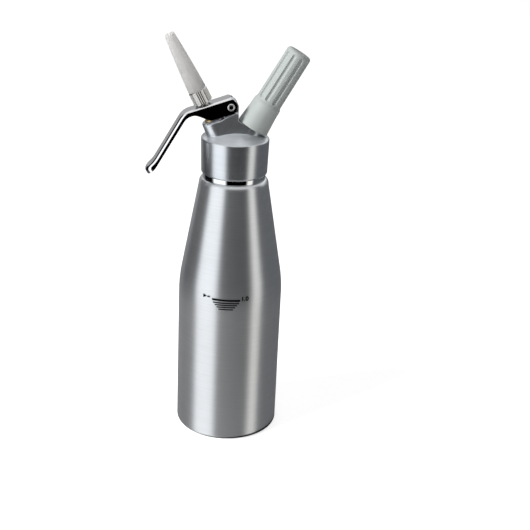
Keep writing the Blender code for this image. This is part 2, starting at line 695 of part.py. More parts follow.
def add_block(head, nozzle_axis, charger_axis):
    """Fuses the nozzle boss, the charger boss with its stub, and the web to the cap."""
    lip = BOSS_TOP_RADIUS - BOSS_LIP_ROUND
    boss = [(BOSS_FOOT_RADIUS, BOSS_TOP - BOSS_DEPTH), (BOSS_FOOT_RADIUS, BOSS_TOP - BOSS_TAPER)]
    boss += arc((lip, BOSS_TOP - BOSS_LIP_ROUND), (BOSS_LIP_ROUND, BOSS_LIP_ROUND), 0, math.pi / 2, CORNER_STEPS)
    boolean(head, 'UNION', turned("nozzle_boss", boss, HEAD_SIDES, None, nozzle_axis))

    stub = [(CHARGER_BOSS_RADIUS, -CHARGER_BOSS_DEPTH), (CHARGER_BOSS_RADIUS, -HOLDER_GAP),
            (STUB_ROOT_RADIUS, -HOLDER_GAP), (STUB_ROOT_RADIUS, STUB_HEIGHT - STUB_CHAMFER),
            (STUB_ROOT_RADIUS - STUB_CHAMFER, STUB_HEIGHT)]
    boolean(head, 'UNION', turned("charger_boss", stub, HEAD_SIDES, None, charger_axis))
    boolean(head, 'UNION', prism("web", block_outline(), BLOCK_HALF))
    for side, label in ((-1, "front"), (1, "back")):
        milling = prism("milling_" + label, ledge_outline(), BLOCK_HALF)
        milling.location.y = side * (EAR_HALF + BLOCK_HALF)
        boolean(head, 'DIFFERENCE', milling)


def bore_head(head, nozzle_axis, charger_axis, pivot):
    """Bores for the cream valve, the gas valve and the lever's rivet."""
    pocket_foot = SEAT - 2 * SEAT_POCKET_RADIUS
    head_room = GLAND_HEAD_RADIUS + FIT
    sleeve_room = GLAND_RADIUS + FIT
    valve = [(SEAT_POCKET_RADIUS, pocket_foot), (SEAT_POCKET_RADIUS, SEAT), (VALVE_BORE_RADIUS, SEAT),
             (VALVE_BORE_RADIUS, GLAND_FOOT - FIT), (sleeve_room, GLAND_FOOT - FIT),
             (sleeve_room, GLAND_HEAD_FOOT - FIT), (head_room, GLAND_HEAD_FOOT - FIT), (head_room, GLAND_TOP + FIT)]
    boolean(head, 'DIFFERENCE', turned("valve_bore", valve, SMALL_SIDES, None, nozzle_axis))

    foot = VALVE_FOOT - FIT
    gas = [(GAS_PASSAGE_RADIUS, foot - VALVE_DEPTH), (GAS_PASSAGE_RADIUS, foot), (STUB_BORE_RADIUS, foot),
           (STUB_BORE_RADIUS, STUB_HEIGHT + OVERRUN)]
    boolean(head, 'DIFFERENCE', turned("gas_bore", gas, SMALL_SIDES, None, charger_axis))
    hole = rod("ear_hole", RIVET_RADIUS + FIT, -BLOCK_THICKNESS, BLOCK_THICKNESS, SMALL_SIDES, None, pivot)
    boolean(head, 'DIFFERENCE', across(hole))


def make_head(mat, nozzle_axis, charger_axis, pivot):
    """Head: cap with the machined block on top and both threads."""
    head = turned("head", cap_profile(), HEAD_SIDES, mat)
    add_block(head, nozzle_axis, charger_axis)
    bore_head(head, nozzle_axis, charger_axis, pivot)
    boolean(head, 'UNION', thread("head_thread", HEAD_ROOT_RADIUS, HEAD_CREST_RADIUS, NECK_PITCH, NECK_TURNS,
                                  NECK_THREAD_Z + NECK_PITCH / 2))
    boolean(head, 'UNION', thread("stub_thread", STUB_ROOT_RADIUS, STUB_CREST_RADIUS, STUB_PITCH, STUB_TURNS,
                                  STUB_THREAD_RISE, charger_axis))


def make_head_gasket(mat):
    """Flat ring between the bottle's rim and the head."""
    foot = RIM_Z + FIT
    tube("head_gasket", NECK_BORE_RADIUS + FIT, HEAD_ROOT_RADIUS - FIT, foot, foot + HEAD_GASKET_THICKNESS,
         HEAD_SIDES, mat)


def lever_distances():
    """Distances along the lever's outer face: where its bend, handle and tip start, and its whole length."""
    bend = LEVER_START + BEND_START
    handle = bend + BEND_RADIUS * BEND_ANGLE
    flick = handle + HANDLE_LENGTH
    end = flick + FLICK_RADIUS * FLICK_ANGLE
    return bend, handle, flick, end


def lever_spine(distance):
    """Place and downward slope of the lever's outer face, in the pivot's frame."""
    bend, handle, flick, _ = lever_distances()
    if distance <= bend:
        return LEVER_START - distance, PLATE_RISE, 0.0
    slope = min((distance - bend) / BEND_RADIUS, BEND_ANGLE)
    run = min(max(distance - handle, 0), HANDLE_LENGTH)
    x = -BEND_START - BEND_RADIUS * math.sin(slope) - run * math.cos(slope)
    z = PLATE_RISE - BEND_RADIUS + BEND_RADIUS * math.cos(slope) - run * math.sin(slope)
    if distance > flick:
        eased_slope = slope - (distance - flick) / FLICK_RADIUS
        x += FLICK_RADIUS * (math.sin(eased_slope) - math.sin(slope))
        z += FLICK_RADIUS * (math.cos(slope) - math.cos(eased_slope))
        slope = eased_slope
    return x, z, slope


def lever_point(distance, rise):
    """A place above or below the lever's outer face, in the pivot's frame."""
    x, z, slope = lever_spine(distance)
    return x - rise * math.sin(slope), z + rise * math.cos(slope)


def lever_depth(distance):
    """Depth of the lever's cheeks and flanges below its outer face."""
    _, handle, flick, end = lever_distances()
    curve = LEVER_START + CHEEK_STRAIGHT
    full = PLATE_RISE + CHEEK_DROP
    marks = ((0, full), (curve, full), (curve + CHEEK_CURVE, BEND_DEPTH), (handle, BEND_DEPTH),
             (handle + HANDLE_FLARE, HANDLE_DEPTH), (flick, HANDLE_DEPTH), (end, TIP_DEPTH))
    return stepped(distance, marks)


def lever_half_width(distance, inset):
    """Half width of the lever or of the hollow inside it, rounded off in plan at the tip."""
    _, _, _, end = lever_distances()
    share = min(max(0, distance - (end - TIP_LENGTH)) / (TIP_LENGTH - inset), 1) * TIP_END_SHARE
    return (LEVER_HALF - inset) * math.sqrt(1 - share * share)


def lever_section(distance, inset, overrun):
    """One section across the lever's outer skin or across the hollow inside it."""
    x, z, slope = lever_spine(distance)
    half = lever_half_width(distance, inset)
    corner = min(LEVER_EDGE_ROUND - inset, half / 2)
    foot = -lever_depth(distance) - overrun
    points = [(-half, foot)]
    points += arc((-half + corner, -inset - corner), (corner, corner), math.pi, math.pi / 2, CORNER_STEPS)
    points += arc((half - corner, -inset - corner), (corner, corner), math.pi / 2, 0, CORNER_STEPS)
    points.append((half, foot))
    return [(x - rise * math.sin(slope), side, z + rise * math.cos(slope)) for side, rise in points]


def lever_stations():
    """Distances at which the lever has a section."""
    bend, handle, flick, end = lever_distances()
    curve = LEVER_START + CHEEK_STRAIGHT
    tip = end - TIP_LENGTH
    stations = [0, curve + OVERRUN, curve + CHEEK_CURVE]
    stations += [bend + (handle - bend) * i / BEND_STEPS for i in range(BEND_STEPS + 1)]
    stations.append(handle + HANDLE_FLARE)
    stations += [flick + (tip - flick) * i / FLICK_STEPS for i in range(FLICK_STEPS)]
    stations += [tip + TIP_LENGTH * math.sin(math.pi / 2 * i / TIP_STEPS) for i in range(TIP_STEPS + 1)]
    return stations


def between(stations, share):
    """One distance in each space between neighbouring stations."""
    return [near + (far - near) * share for near, far in zip(stations, stations[1:])]


def lever_side():
    """Side outline of the whole lever: cheek end, cheek curve, handle flange and tip."""
    _, _, _, end = lever_distances()
    centre = (-CHEEK_END_BACK, 0)
    plate_angle = math.asin(PLATE_RISE / CHEEK_END_RISE)
    outline = arc(centre, (CHEEK_DROP, CHEEK_DROP), -math.pi / 2, 0, CHEEK_STEPS)
    outline += arc(centre, (CHEEK_DROP, CHEEK_END_RISE), 0, plate_angle, CHEEK_STEPS)[1:]
    outline.append((outline[-1][0], PLATE_RISE + OVERRUN))
    curve_end = LEVER_START + CHEEK_STRAIGHT + CHEEK_CURVE
    stations = [distance for distance in between(lever_stations(), SIDE_STATION_SHARE) if distance > curve_end]
    stations.append(end + OVERRUN)
    outline += [lever_point(distance, OVERRUN) for distance in stations]
    outline += [lever_point(distance, -lever_depth(distance)) for distance in reversed(stations)]
    rise = PLATE_RISE - BEND_DEPTH
    for i in range(1, CHEEK_STEPS + 1):
        share = i / CHEEK_STEPS
        outline.append((-CHEEK_STRAIGHT - CHEEK_CURVE * (1 - share), rise - (rise + CHEEK_DROP) * eased(share)))
    return outline


def make_lever(mat, pivot):
    """Lever: one pressed channel with round-ended cheeks, a hole for the piston and a flicked tip."""
    _, _, _, end = lever_distances()
    stations = lever_stations()
    spare = 2 * OVERRUN
    lever = add_object("lever", loft([lever_section(distance, 0, spare) for distance in stations]), mat, pivot)
    inside = [distance for distance in between(stations, HOLLOW_STATION_SHARE) if distance < end - 2 * LEVER_SHEET]
    inside = [-OVERRUN] + inside + [end - LEVER_SHEET]
    hollow = loft([lever_section(distance, LEVER_SHEET, 2 * spare) for distance in inside])
    boolean(lever, 'DIFFERENCE', add_object("channel_hollow", hollow, None, pivot))
    boolean(lever, 'INTERSECT', prism("lever_side", lever_side(), LEVER_WIDTH, None, pivot))

    hole = rod("plate_hole", PLATE_HOLE_RADIUS, PLATE_RISE - 2 * LEVER_SHEET, PLATE_RISE + OVERRUN, SMALL_SIDES,
               None, pivot)
    hole.location.x = PLATE_HOLE_X
    boolean(lever, 'DIFFERENCE', hole)
    holes = rod("cheek_holes", RIVET_RADIUS + FIT, -LEVER_WIDTH, LEVER_WIDTH, SMALL_SIDES, None, pivot)
    boolean(lever, 'DIFFERENCE', across(holes))


def make_rivet(mat, pivot):
    """Hollow rivet with a rolled head outside each cheek."""
    inside = LEVER_HALF + FIT
    middle = inside + RIVET_HEAD_THICKNESS / 2
    outside = inside + RIVET_HEAD_THICKNESS
    edge = RIVET_HEAD_RADIUS - RIVET_HEAD_THICKNESS / 2
    upper = [(RIVET_RADIUS, inside), (RIVET_HEAD_RADIUS, inside), (RIVET_HEAD_RADIUS, middle), (edge, outside),
             (RIVET_BORE_RADIUS, outside)]
    lower = [(radius, -height) for radius, height in reversed(upper)]
    across(add_object("lever_rivet", lathe(lower + upper, SMALL_SIDES, True), mat, pivot))


def make_piston(mat, axis):
    """Piston: hollow tube from the adapter down to the cream valve, with cross ports and a seal stem."""
    floor = PORT_HEIGHT - PORT_RADIUS
    groove_radius = LAND_RADIUS - GROOVE_DEPTH
    profile = [(PISTON_BORE_RADIUS, floor), (PISTON_BORE_RADIUS, ADAPTER_FLOOR + PISTON_PROUD),
               (STEM_THREAD_ROOT, ADAPTER_FLOOR + PISTON_PROUD), (STEM_THREAD_ROOT, 0),
               (PISTON_RADIUS, -STEM_THREAD_DEPTH), (PISTON_RADIUS, COLLAR_TOP), (COLLAR_RADIUS, COLLAR_TOP),
               (COLLAR_RADIUS, COLLAR_FOOT), (PISTON_RADIUS, COLLAR_FOOT), (PISTON_RADIUS, LAND_TOP),
               (LAND_RADIUS, LAND_TOP), (LAND_RADIUS, GROOVE_TOP), (groove_radius, GROOVE_TOP),
               (groove_radius, GROOVE_FOOT), (LAND_RADIUS, GROOVE_FOOT), (LAND_RADIUS, LAND_FOOT),
               (PISTON_RADIUS, LAND_FOOT), (PISTON_RADIUS, PORT_BODY_FOOT), (STEM_RADIUS, PORT_BODY_FOOT),
               (STEM_RADIUS, SEAL_NUT_FOOT - STEM_PROUD)]
    piston = turned("piston", profile, SMALL_SIDES, mat, axis)
    port = across(rod("cross_port", PORT_RADIUS, -LAND_RADIUS, LAND_RADIUS, TINY_SIDES, None, axis))
    port.location.z = PORT_HEIGHT
    boolean(piston, 'DIFFERENCE', port)
    boolean(piston, 'UNION', thread("stem_thread", STEM_THREAD_ROOT, PISTON_RADIUS, STEM_PITCH, STEM_TURNS,
                                    STEM_THREAD_RISE, axis, STEM_THREAD_STEPS))


def make_valve_fittings(rubber, silicone, brass, axis):
    """The piston's O-ring, the disc that seals the seat, and the nut that holds it."""
    section = O_RING_SECTION / 2
    centre = (LAND_RADIUS - GROOVE_DEPTH + FIT + section, (GROOVE_TOP + GROOVE_FOOT) / 2)
    circle = arc(centre, (section, section), 0, 2 * math.pi, O_RING_STEPS)[:-1]
    add_object("piston_o_ring", lathe(circle, SMALL_SIDES, True), rubber, axis)
    bore = STEM_RADIUS + FIT
    tube("valve_seal", bore, SEAL_RADIUS, SEAL_FOOT, SEAL_TOP, SMALL_SIDES, silicone, axis)
    nut = rod("seal_nut", SEAL_NUT_RADIUS, SEAL_NUT_FOOT, SEAL_NUT_TOP, NUT_FACES, brass, axis)
    hole = rod("seal_nut_hole", bore, SEAL_NUT_FOOT - OVERRUN, SEAL_NUT_TOP + OVERRUN, SMALL_SIDES, None, axis)
    boolean(nut, 'DIFFERENCE', hole)


def make_gland_nut(mat, axis):
    """Gland nut: slotted head on the boss and a long sleeve that guides the piston."""
    bore = PISTON_RADIUS + PISTON_PLAY
    profile = [(bore, GLAND_TOP), (GLAND_HEAD_RADIUS, GLAND_TOP), (GLAND_HEAD_RADIUS, GLAND_HEAD_FOOT),
               (GLAND_RADIUS, GLAND_HEAD_FOOT), (GLAND_RADIUS, GLAND_FOOT), (bore, GLAND_FOOT)]
    nut = add_object("gland_nut", lathe(profile, SMALL_SIDES, True), mat, axis)
    reach = GLAND_HEAD_RADIUS + OVERRUN
    floor = GLAND_TOP - GLAND_SLOT_DEPTH
    outline = [(-reach, floor), (reach, floor), (reach, GLAND_TOP + OVERRUN), (-reach, GLAND_TOP + OVERRUN)]
    boolean(nut, 'DIFFERENCE', prism("spanner_slot", outline, GLAND_SLOT_WIDTH / 2, None, axis))


def make_adapter(steel, silicone, axis):
    """Knurled adapter that screws on the piston, and the washer inside it."""
    edge = ADAPTER_RADIUS - ADAPTER_CHAMFER
    profile = [(ADAPTER_THREAD_ROOT, 0), (edge, 0), (ADAPTER_RADIUS, ADAPTER_CHAMFER),
               (ADAPTER_RADIUS, ADAPTER_HEIGHT - ADAPTER_CHAMFER), (edge, ADAPTER_HEIGHT),
               (CUP_RADIUS, ADAPTER_HEIGHT), (CUP_RADIUS, ADAPTER_FLOOR), (ADAPTER_THREAD_ROOT, ADAPTER_FLOOR)]
    bm = lathe(profile, 2 * KNURL_COUNT, True)
    for vert in bm.verts:
        radius = math.hypot(vert.co.x, vert.co.y)
        spoke = round(math.atan2(vert.co.y, vert.co.x) / math.pi * KNURL_COUNT)
        if radius > ADAPTER_RADIUS - WELD and spoke % 2:
            vert.co.x *= (radius - KNURL_DEPTH) / radius
            vert.co.y *= (radius - KNURL_DEPTH) / radius
    adapter = add_object("nozzle_adapter", bm, steel, axis)
    ridge = thread("adapter_thread", ADAPTER_THREAD_ROOT, STEM_THREAD_ROOT + FIT, STEM_PITCH, STEM_TURNS,
                   STEM_THREAD_RISE + STEM_PITCH / 2, axis, STEM_THREAD_STEPS)
    boolean(adapter, 'UNION', ridge)
    tube("adapter_washer", WASHER_BORE_RADIUS, CUP_RADIUS - FIT, WASHER_FOOT, WASHER_FOOT + WASHER_THICKNESS,
         SMALL_SIDES, silicone, axis)


def make_nozzle(mat, axis):
    """Tapered nozzle with a toothed mouth."""
    shank = CUP_RADIUS - FIT
    neck = NOZZLE_LENGTH - NOZZLE_TIP_LENGTH
    lip = NOZZLE_FOOT + NOZZLE_BASE_LIP
    profile = [(shank - NOZZLE_WALL, SHANK_FOOT), (shank, SHANK_FOOT), (shank, NOZZLE_FOOT),
               (NOZZLE_BASE_RADIUS, NOZZLE_FOOT), (NOZZLE_BASE_RADIUS, lip), (NOZZLE_NECK_RADIUS, neck),
               (NOZZLE_TIP_RADIUS, NOZZLE_LENGTH),
               (NOZZLE_TIP_RADIUS - NOZZLE_WALL, NOZZLE_LENGTH), (NOZZLE_NECK_RADIUS - NOZZLE_WALL, neck),
               (shank - NOZZLE_WALL, lip)]
    nozzle = add_object("nozzle", lathe(profile, SMALL_SIDES, True), mat, axis)
    top = NOZZLE_LENGTH + OVERRUN
    outline = [(0, NOZZLE_LENGTH - NOTCH_DEPTH), (NOTCH_WIDTH / 2, top), (-NOTCH_WIDTH / 2, top)]
    for i in range(NOZZLE_TEETH // 2):
        notch = prism("notch_%d" % i, outline, NOZZLE_BASE_RADIUS, None, axis)
        notch.rotation_euler.z = NOTCH_PHASE + 2 * math.pi * i / NOZZLE_TEETH
        boolean(nozzle, 'DIFFERENCE', notch)


def holder_profile():
    """Profile of the holder, from the end of its blind bore out over the mouth to its closed end."""
    bore_end = CHARGER_END + FIT
    bore = HOLDER_BORE_RADIUS
    inner = arc((0, bore_end - bore), (bore, bore), math.pi / 2, 0, CHARGER_STEPS)[1:]
    inner += [(bore, HOLDER_THREAD_LENGTH + HOLDER_THREAD_ROOT - bore), (HOLDER_THREAD_ROOT, HOLDER_THREAD_LENGTH),
              (HOLDER_THREAD_ROOT, 0)]
    mouth = HOLDER_MOUTH_RADIUS - HOLDER_MOUTH_ROUND
    outer = arc((mouth, HOLDER_MOUTH_ROUND), (HOLDER_MOUTH_ROUND, HOLDER_MOUTH_ROUND), -math.pi / 2, 0, CORNER_STEPS)
    outer.append((HOLDER_SKIRT_RADIUS, HOLDER_SKIRT_HEIGHT))
    outer += arc((HOLDER_GRIP_RADIUS, HOLDER_SHOULDER_HEIGHT),
                 (HOLDER_SHOULDER_RADIUS - HOLDER_GRIP_RADIUS, HOLDER_SHOULDER_ROUND), 0, math.pi / 2, CORNER_STEPS)
    edge = HOLDER_END_RADIUS - HOLDER_END_ROUND
    outer += arc((edge, HOLDER_LENGTH - HOLDER_END_ROUND), (HOLDER_END_ROUND, HOLDER_END_ROUND), 0, math.pi / 2,
                 CORNER_STEPS)
    return inner + outer


def make_holder(mat, axis):
    """Charger holder: threaded mouth, rounded shoulder and a fluted grip with a blind bore."""
    holder = turned("charger_holder", holder_profile(), HEAD_SIDES, mat, axis)
    low = GRIP_START + FLUTE_START_GAP
    high = HOLDER_LENGTH - FLUTE_END_GAP
    offset = HOLDER_GRIP_RADIUS - FLUTE_DEPTH + FLUTE_CUTTER_RADIUS
    radius = FLUTE_CUTTER_RADIUS
    profile = arc((0, low + radius), (radius, radius), -math.pi / 2, 0, CORNER_STEPS)[1:]
    profile += arc((0, high - radius), (radius, radius), 0, math.pi / 2, CORNER_STEPS)[:-1]
    for i in range(FLUTE_COUNT):
        flute = turned("flute_%d" % i, profile, FLUTE_SIDES, None, axis)
        angle = FLUTE_PHASE + 2 * math.pi * i / FLUTE_COUNT
        flute.location = (offset * math.cos(angle), offset * math.sin(angle), 0)
        flute.rotation_euler.z = angle
        boolean(holder, 'DIFFERENCE', flute)
    boolean(holder, 'UNION', thread("holder_thread", HOLDER_THREAD_ROOT, HOLDER_THREAD_CREST, STUB_PITCH, STUB_TURNS,
                                    STUB_THREAD_RISE + STUB_PITCH / 2, axis))


def capsule_skin(inset):
    """Profile of the charger's skin from its neck to its round end."""
    neck = CHARGER_NECK_RADIUS - inset
    body = CHARGER_RADIUS - inset
    foot = CHARGER_TIP + CHARGER_NECK_LENGTH
    points = [(neck, foot)]
    for i in range(1, CHARGER_STEPS + 1):
        share = i / CHARGER_STEPS
        points.append((neck + (body - neck) * math.sin(share * math.pi / 2), foot + CHARGER_SHOULDER * share * share))
    points += arc((0, CHARGER_END - CHARGER_RADIUS), (body, body), 0, math.pi / 2, CHARGER_STEPS)[:-1]
    return points


def make_charger(mat, axis):
    """Gas charger: thin steel capsule, pierced at the tip of its neck."""
    inner_tip = CHARGER_TIP + CHARGER_WALL
    outer = [(CHARGER_PIERCING_RADIUS, CHARGER_TIP), (CHARGER_NECK_RADIUS, CHARGER_TIP)] + capsule_skin(0)
    inner = [(CHARGER_PIERCING_RADIUS, inner_tip), (CHARGER_NECK_RADIUS - CHARGER_WALL, inner_tip)]
    inner += capsule_skin(CHARGER_WALL)
    turned("gas_charger", list(reversed(inner)) + outer, SMALL_SIDES, mat, axis)


def make_gas_valve(brass, steel, rubber, axis):
    """Valve insert with its piercing pin, gasket, poppet, spring and retainer."""
    pin_room = PIN_FLANGE_RADIUS + FIT
    body = [(VALVE_CAVITY_RADIUS, VALVE_FOOT), (VALVE_BODY_RADIUS, VALVE_FOOT), (VALVE_BODY_RADIUS, VALVE_TOP),
            (pin_room, VALVE_TOP), (pin_room, PIN_SEAT), (VALVE_THROAT_RADIUS, PIN_SEAT),
            (VALVE_THROAT_RADIUS, VALVE_CAVITY_TOP), (VALVE_CAVITY_RADIUS, VALVE_CAVITY_TOP)]
    add_object("gas_valve_body", lathe(body, SMALL_SIDES, True), brass, axis)

    low = PIN_SEAT + FIT
    high = low + PIN_FLANGE_THICKNESS
    tip = CHARGER_TIP + PIN_REACH
    profile = [(PIN_FLANGE_RADIUS, low), (PIN_FLANGE_RADIUS, high), (PIN_RADIUS, high),
               (PIN_RADIUS, tip - PIN_TIP_LENGTH), (0, tip)]
    pin = turned("piercing_pin", profile, TINY_SIDES, steel, axis)
    vent = rod("pin_vent", PIN_VENT_RADIUS, low - OVERRUN, high + OVERRUN, TINY_SIDES, None, axis)
    vent.location.x = (PIN_FLANGE_RADIUS + PIN_RADIUS) / 2
    boolean(pin, 'DIFFERENCE', vent)

    tube("charger_gasket", CHARGER_GASKET_BORE, VALVE_BODY_RADIUS, CHARGER_GASKET_FOOT,
         CHARGER_GASKET_FOOT + CHARGER_GASKET_THICKNESS, SMALL_SIDES, rubber, axis)
    poppet_top = VALVE_CAVITY_TOP - FIT
    poppet_foot = poppet_top - POPPET_THICKNESS
    rod("check_poppet", POPPET_RADIUS, poppet_foot, poppet_top, TINY_SIDES, rubber, axis)
    retainer_top = VALVE_FOOT + RETAINER_THICKNESS
    tube("valve_retainer", RETAINER_BORE_RADIUS, VALVE_CAVITY_RADIUS - FIT, VALVE_FOOT, retainer_top, TINY_SIDES,
         brass, axis)
    coil("check_spring", CHECK_SPRING_RADIUS, CHECK_SPRING_WIRE_RADIUS, retainer_top, poppet_foot, CHECK_SPRING_CURLS,
         steel, axis)


def main():
    """Builds every piece."""
    clear_scene()
    aluminium = material("brushed_aluminium", (0.62, 0.63, 0.64), 0.32, 1.0)
    cast = material("machined_aluminium", (0.55, 0.57, 0.59), 0.3, 1.0)
    chrome = material("chrome", (0.8, 0.8, 0.8), 0.08, 1.0)
    steel = material("steel", (0.56, 0.57, 0.58), 0.25, 1.0)
    brass = material("brass", (0.62, 0.44, 0.16), 0.28, 1.0)
    rubber = material("rubber", (0.03, 0.03, 0.03), 0.7, 0.0)
    silicone = material("silicone", (0.75, 0.76, 0.74), 0.5, 0.0)
    grip = material("grip_plastic", (0.6, 0.64, 0.61), 0.45, 0.0)
    frosted = material("frosted_plastic", (0.74, 0.75, 0.74), 0.4, 0.0, 0.3)

    nozzle_axis = axis_empty("nozzle_axis", NOZZLE_SEAT_X, NOZZLE_SEAT_Z, -NOZZLE_LEAN)
    charger_axis = axis_empty("charger_axis", HOLDER_SEAT_X, HOLDER_SEAT_Z, CHARGER_LEAN)
    pivot = axis_empty("lever_pivot", PIVOT_X, PIVOT_Z, -LEVER_SLOPE)

    make_bottle(aluminium)
    make_head(cast, nozzle_axis, charger_axis, pivot)
    make_head_gasket(silicone)
    make_lever(chrome, pivot)
    make_rivet(steel, pivot)
    make_piston(steel, nozzle_axis)
    make_valve_fittings(rubber, silicone, brass, nozzle_axis)
    make_gland_nut(brass, nozzle_axis)
    coil("piston_spring", SPRING_RADIUS, SPRING_WIRE_RADIUS, GLAND_TOP, COLLAR_FOOT, SPRING_CURLS, steel, nozzle_axis)
    make_adapter(steel, silicone, nozzle_axis)
    make_nozzle(frosted, nozzle_axis)
    make_holder(grip, charger_axis)
    make_charger(steel, charger_axis)
    make_gas_valve(brass, steel, rubber, charger_axis)


main()
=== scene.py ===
"""Looks of the whipped cream dispenser: finished pieces and materials over its packed frame."""

import json
import math

import bmesh
import bpy
from bpy.props import FloatProperty, FloatVectorProperty, IntProperty, PointerProperty
from mathutils import Matrix, Vector


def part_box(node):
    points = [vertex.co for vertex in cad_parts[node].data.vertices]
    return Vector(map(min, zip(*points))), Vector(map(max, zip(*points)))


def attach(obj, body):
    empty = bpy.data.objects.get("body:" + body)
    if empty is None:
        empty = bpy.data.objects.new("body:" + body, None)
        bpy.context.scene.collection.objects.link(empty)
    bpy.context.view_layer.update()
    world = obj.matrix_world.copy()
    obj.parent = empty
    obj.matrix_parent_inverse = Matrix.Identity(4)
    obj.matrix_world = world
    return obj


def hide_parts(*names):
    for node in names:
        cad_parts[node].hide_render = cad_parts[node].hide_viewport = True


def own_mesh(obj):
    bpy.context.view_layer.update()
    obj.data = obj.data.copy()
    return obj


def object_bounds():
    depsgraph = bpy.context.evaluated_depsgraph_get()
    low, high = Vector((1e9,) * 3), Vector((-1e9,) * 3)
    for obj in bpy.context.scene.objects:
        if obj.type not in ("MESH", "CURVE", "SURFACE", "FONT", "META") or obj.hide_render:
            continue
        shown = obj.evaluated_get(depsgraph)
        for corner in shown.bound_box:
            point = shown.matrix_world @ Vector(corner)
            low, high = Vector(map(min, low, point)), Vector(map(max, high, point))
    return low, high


bl_info = {
    "name": "Whipped Cream Dispenser",
    "version": (1, 0, 0),
    "blender": (4, 5, 0),
    "location": "View3D > Sidebar > Dispenser",
    "description": "Finished pieces, materials and studio for a whipped cream dispenser",
    "category": "Object",
}

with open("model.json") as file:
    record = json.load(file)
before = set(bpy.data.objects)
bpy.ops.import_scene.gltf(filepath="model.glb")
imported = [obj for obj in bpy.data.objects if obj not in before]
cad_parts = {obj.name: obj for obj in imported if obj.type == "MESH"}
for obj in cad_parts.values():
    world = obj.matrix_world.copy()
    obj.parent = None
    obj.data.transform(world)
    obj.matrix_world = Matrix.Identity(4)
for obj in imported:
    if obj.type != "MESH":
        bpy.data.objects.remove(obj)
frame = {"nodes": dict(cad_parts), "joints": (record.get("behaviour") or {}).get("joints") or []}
CAD_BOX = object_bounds()

MM = 0.001
TURN = 2 * math.pi
TOUCH = 0.001 * MM
OVERRUN = 1.0 * MM
FIT = 0.3 * MM
BURY = 0.1 * MM
RUN_OUT = 0.2
ARC_STEP = math.radians(7.5)
SMOOTH_ANGLE = math.radians(32)
BOTTLE_SIDES = 192
HEAD_SIDES = 128
SMALL_SIDES = 64
STAGE_SIDES = 96
UNTURNED = Matrix.Identity(4)
ACROSS = Matrix.Rotation(math.pi / 2, 4, 'X')


def length(name, millimetres, description):
    """A size that a user can change, given in millimetres."""
    return measured(name, millimetres * MM, description)


def measured(name, metres, description):
    """A size that a user can change, given in metres or read from the frame."""
    return FloatProperty(name=name, description=description, default=metres, unit='LENGTH', precision=5)


def spot(name, place, description):
    """A place that a user can change."""
    return FloatVectorProperty(name=name, description=description, default=place, subtype='TRANSLATION',
                               unit='LENGTH', precision=5)


def turned_by(name, degrees, description):
    """An angle that a user can change, given in degrees."""
    return FloatProperty(name=name, description=description, default=math.radians(degrees), unit='ROTATION')


def share(name, value, description):
    """A number without a unit that a user can change."""
    return FloatProperty(name=name, description=description, default=value)


def tint(name, colour, description):
    """A colour that a user can change."""
    return FloatVectorProperty(name=name, description=description, default=colour, subtype='COLOR',
                               min=0, max=1)


def joint(name):
    """A joint of the frame by its name."""
    return next(item for item in frame["joints"] if item["name"] == name)


class BottleSizes(bpy.types.PropertyGroup):
    """Driving dimensions of the bottle."""
    radius: measured("Radius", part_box("bottle")[1].x, "Outer radius of the barrel")
    wall: length("Wall", 1.8, "Thickness of the wall")
    floor: length("Floor", 3.0, "Thickness of the floor")
    foot_round: length("Foot Round", 4.0, "Radius round the foot")
    # Painted shade: the height of a dark band round the foot, standing in for the floor's reflected shadow.
    painted_foot_shade: length("Foot Stain", 3.6, "Height of the dark edge round the foot")
    foot_recess: length("Foot Recess", 0.9, "Depth of the recess under the floor")
    foot_land: length("Foot Land", 7.0, "Width of the ring that the bottle stands on")
    barrel: length("Barrel Height", 151.5, "Height at which the barrel meets the cone")
    cone: length("Cone Height", 96.0, "Height of the cone")
    cone_top: length("Cone Top Radius", 32.7, "Radius at the top of the cone")
    blend: length("Cone Blend Radius", 150.0, "Radius of the blend between barrel and cone")
    shoulder: length("Shoulder Height", 6.5, "Height of the rounded shoulder")
    ring_radius: length("Ring Radius", 29.3, "Radius of the polished ring")
    ring: length("Ring Height", 4.8, "Height of the polished ring")
    ring_groove: length("Ring Groove", 0.5, "Depth of the groove above and below the bead on the ring")
    neck_radius: length("Neck Radius", 26.0, "Outer radius of the neck under its thread")
    neck_bore: length("Neck Bore", 22.5, "Inner radius of the neck")
    rim: measured("Rim Height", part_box("bottle")[1].z, "Height of the bottle's rim")
    rim_round: length("Rim Round", 0.8, "Radius on the rim's edges")
    thread_pitch: length("Thread Pitch", 5.0, "Rise of the neck thread in one turn")
    thread_turns: share("Thread Turns", 2.3, "Turns of the neck thread")
    thread_depth: length("Thread Depth", 1.2, "Height of the neck thread's ridge")
    thread_rise: length("Thread Rise", 4.2, "Start of the neck thread above the ring")
    finish_below: length("Finish Below", 25.0, "Distance below the cone at which its finish starts")
    finish_above: length("Finish Above", 15.0, "Distance up the cone at which its finish is full")


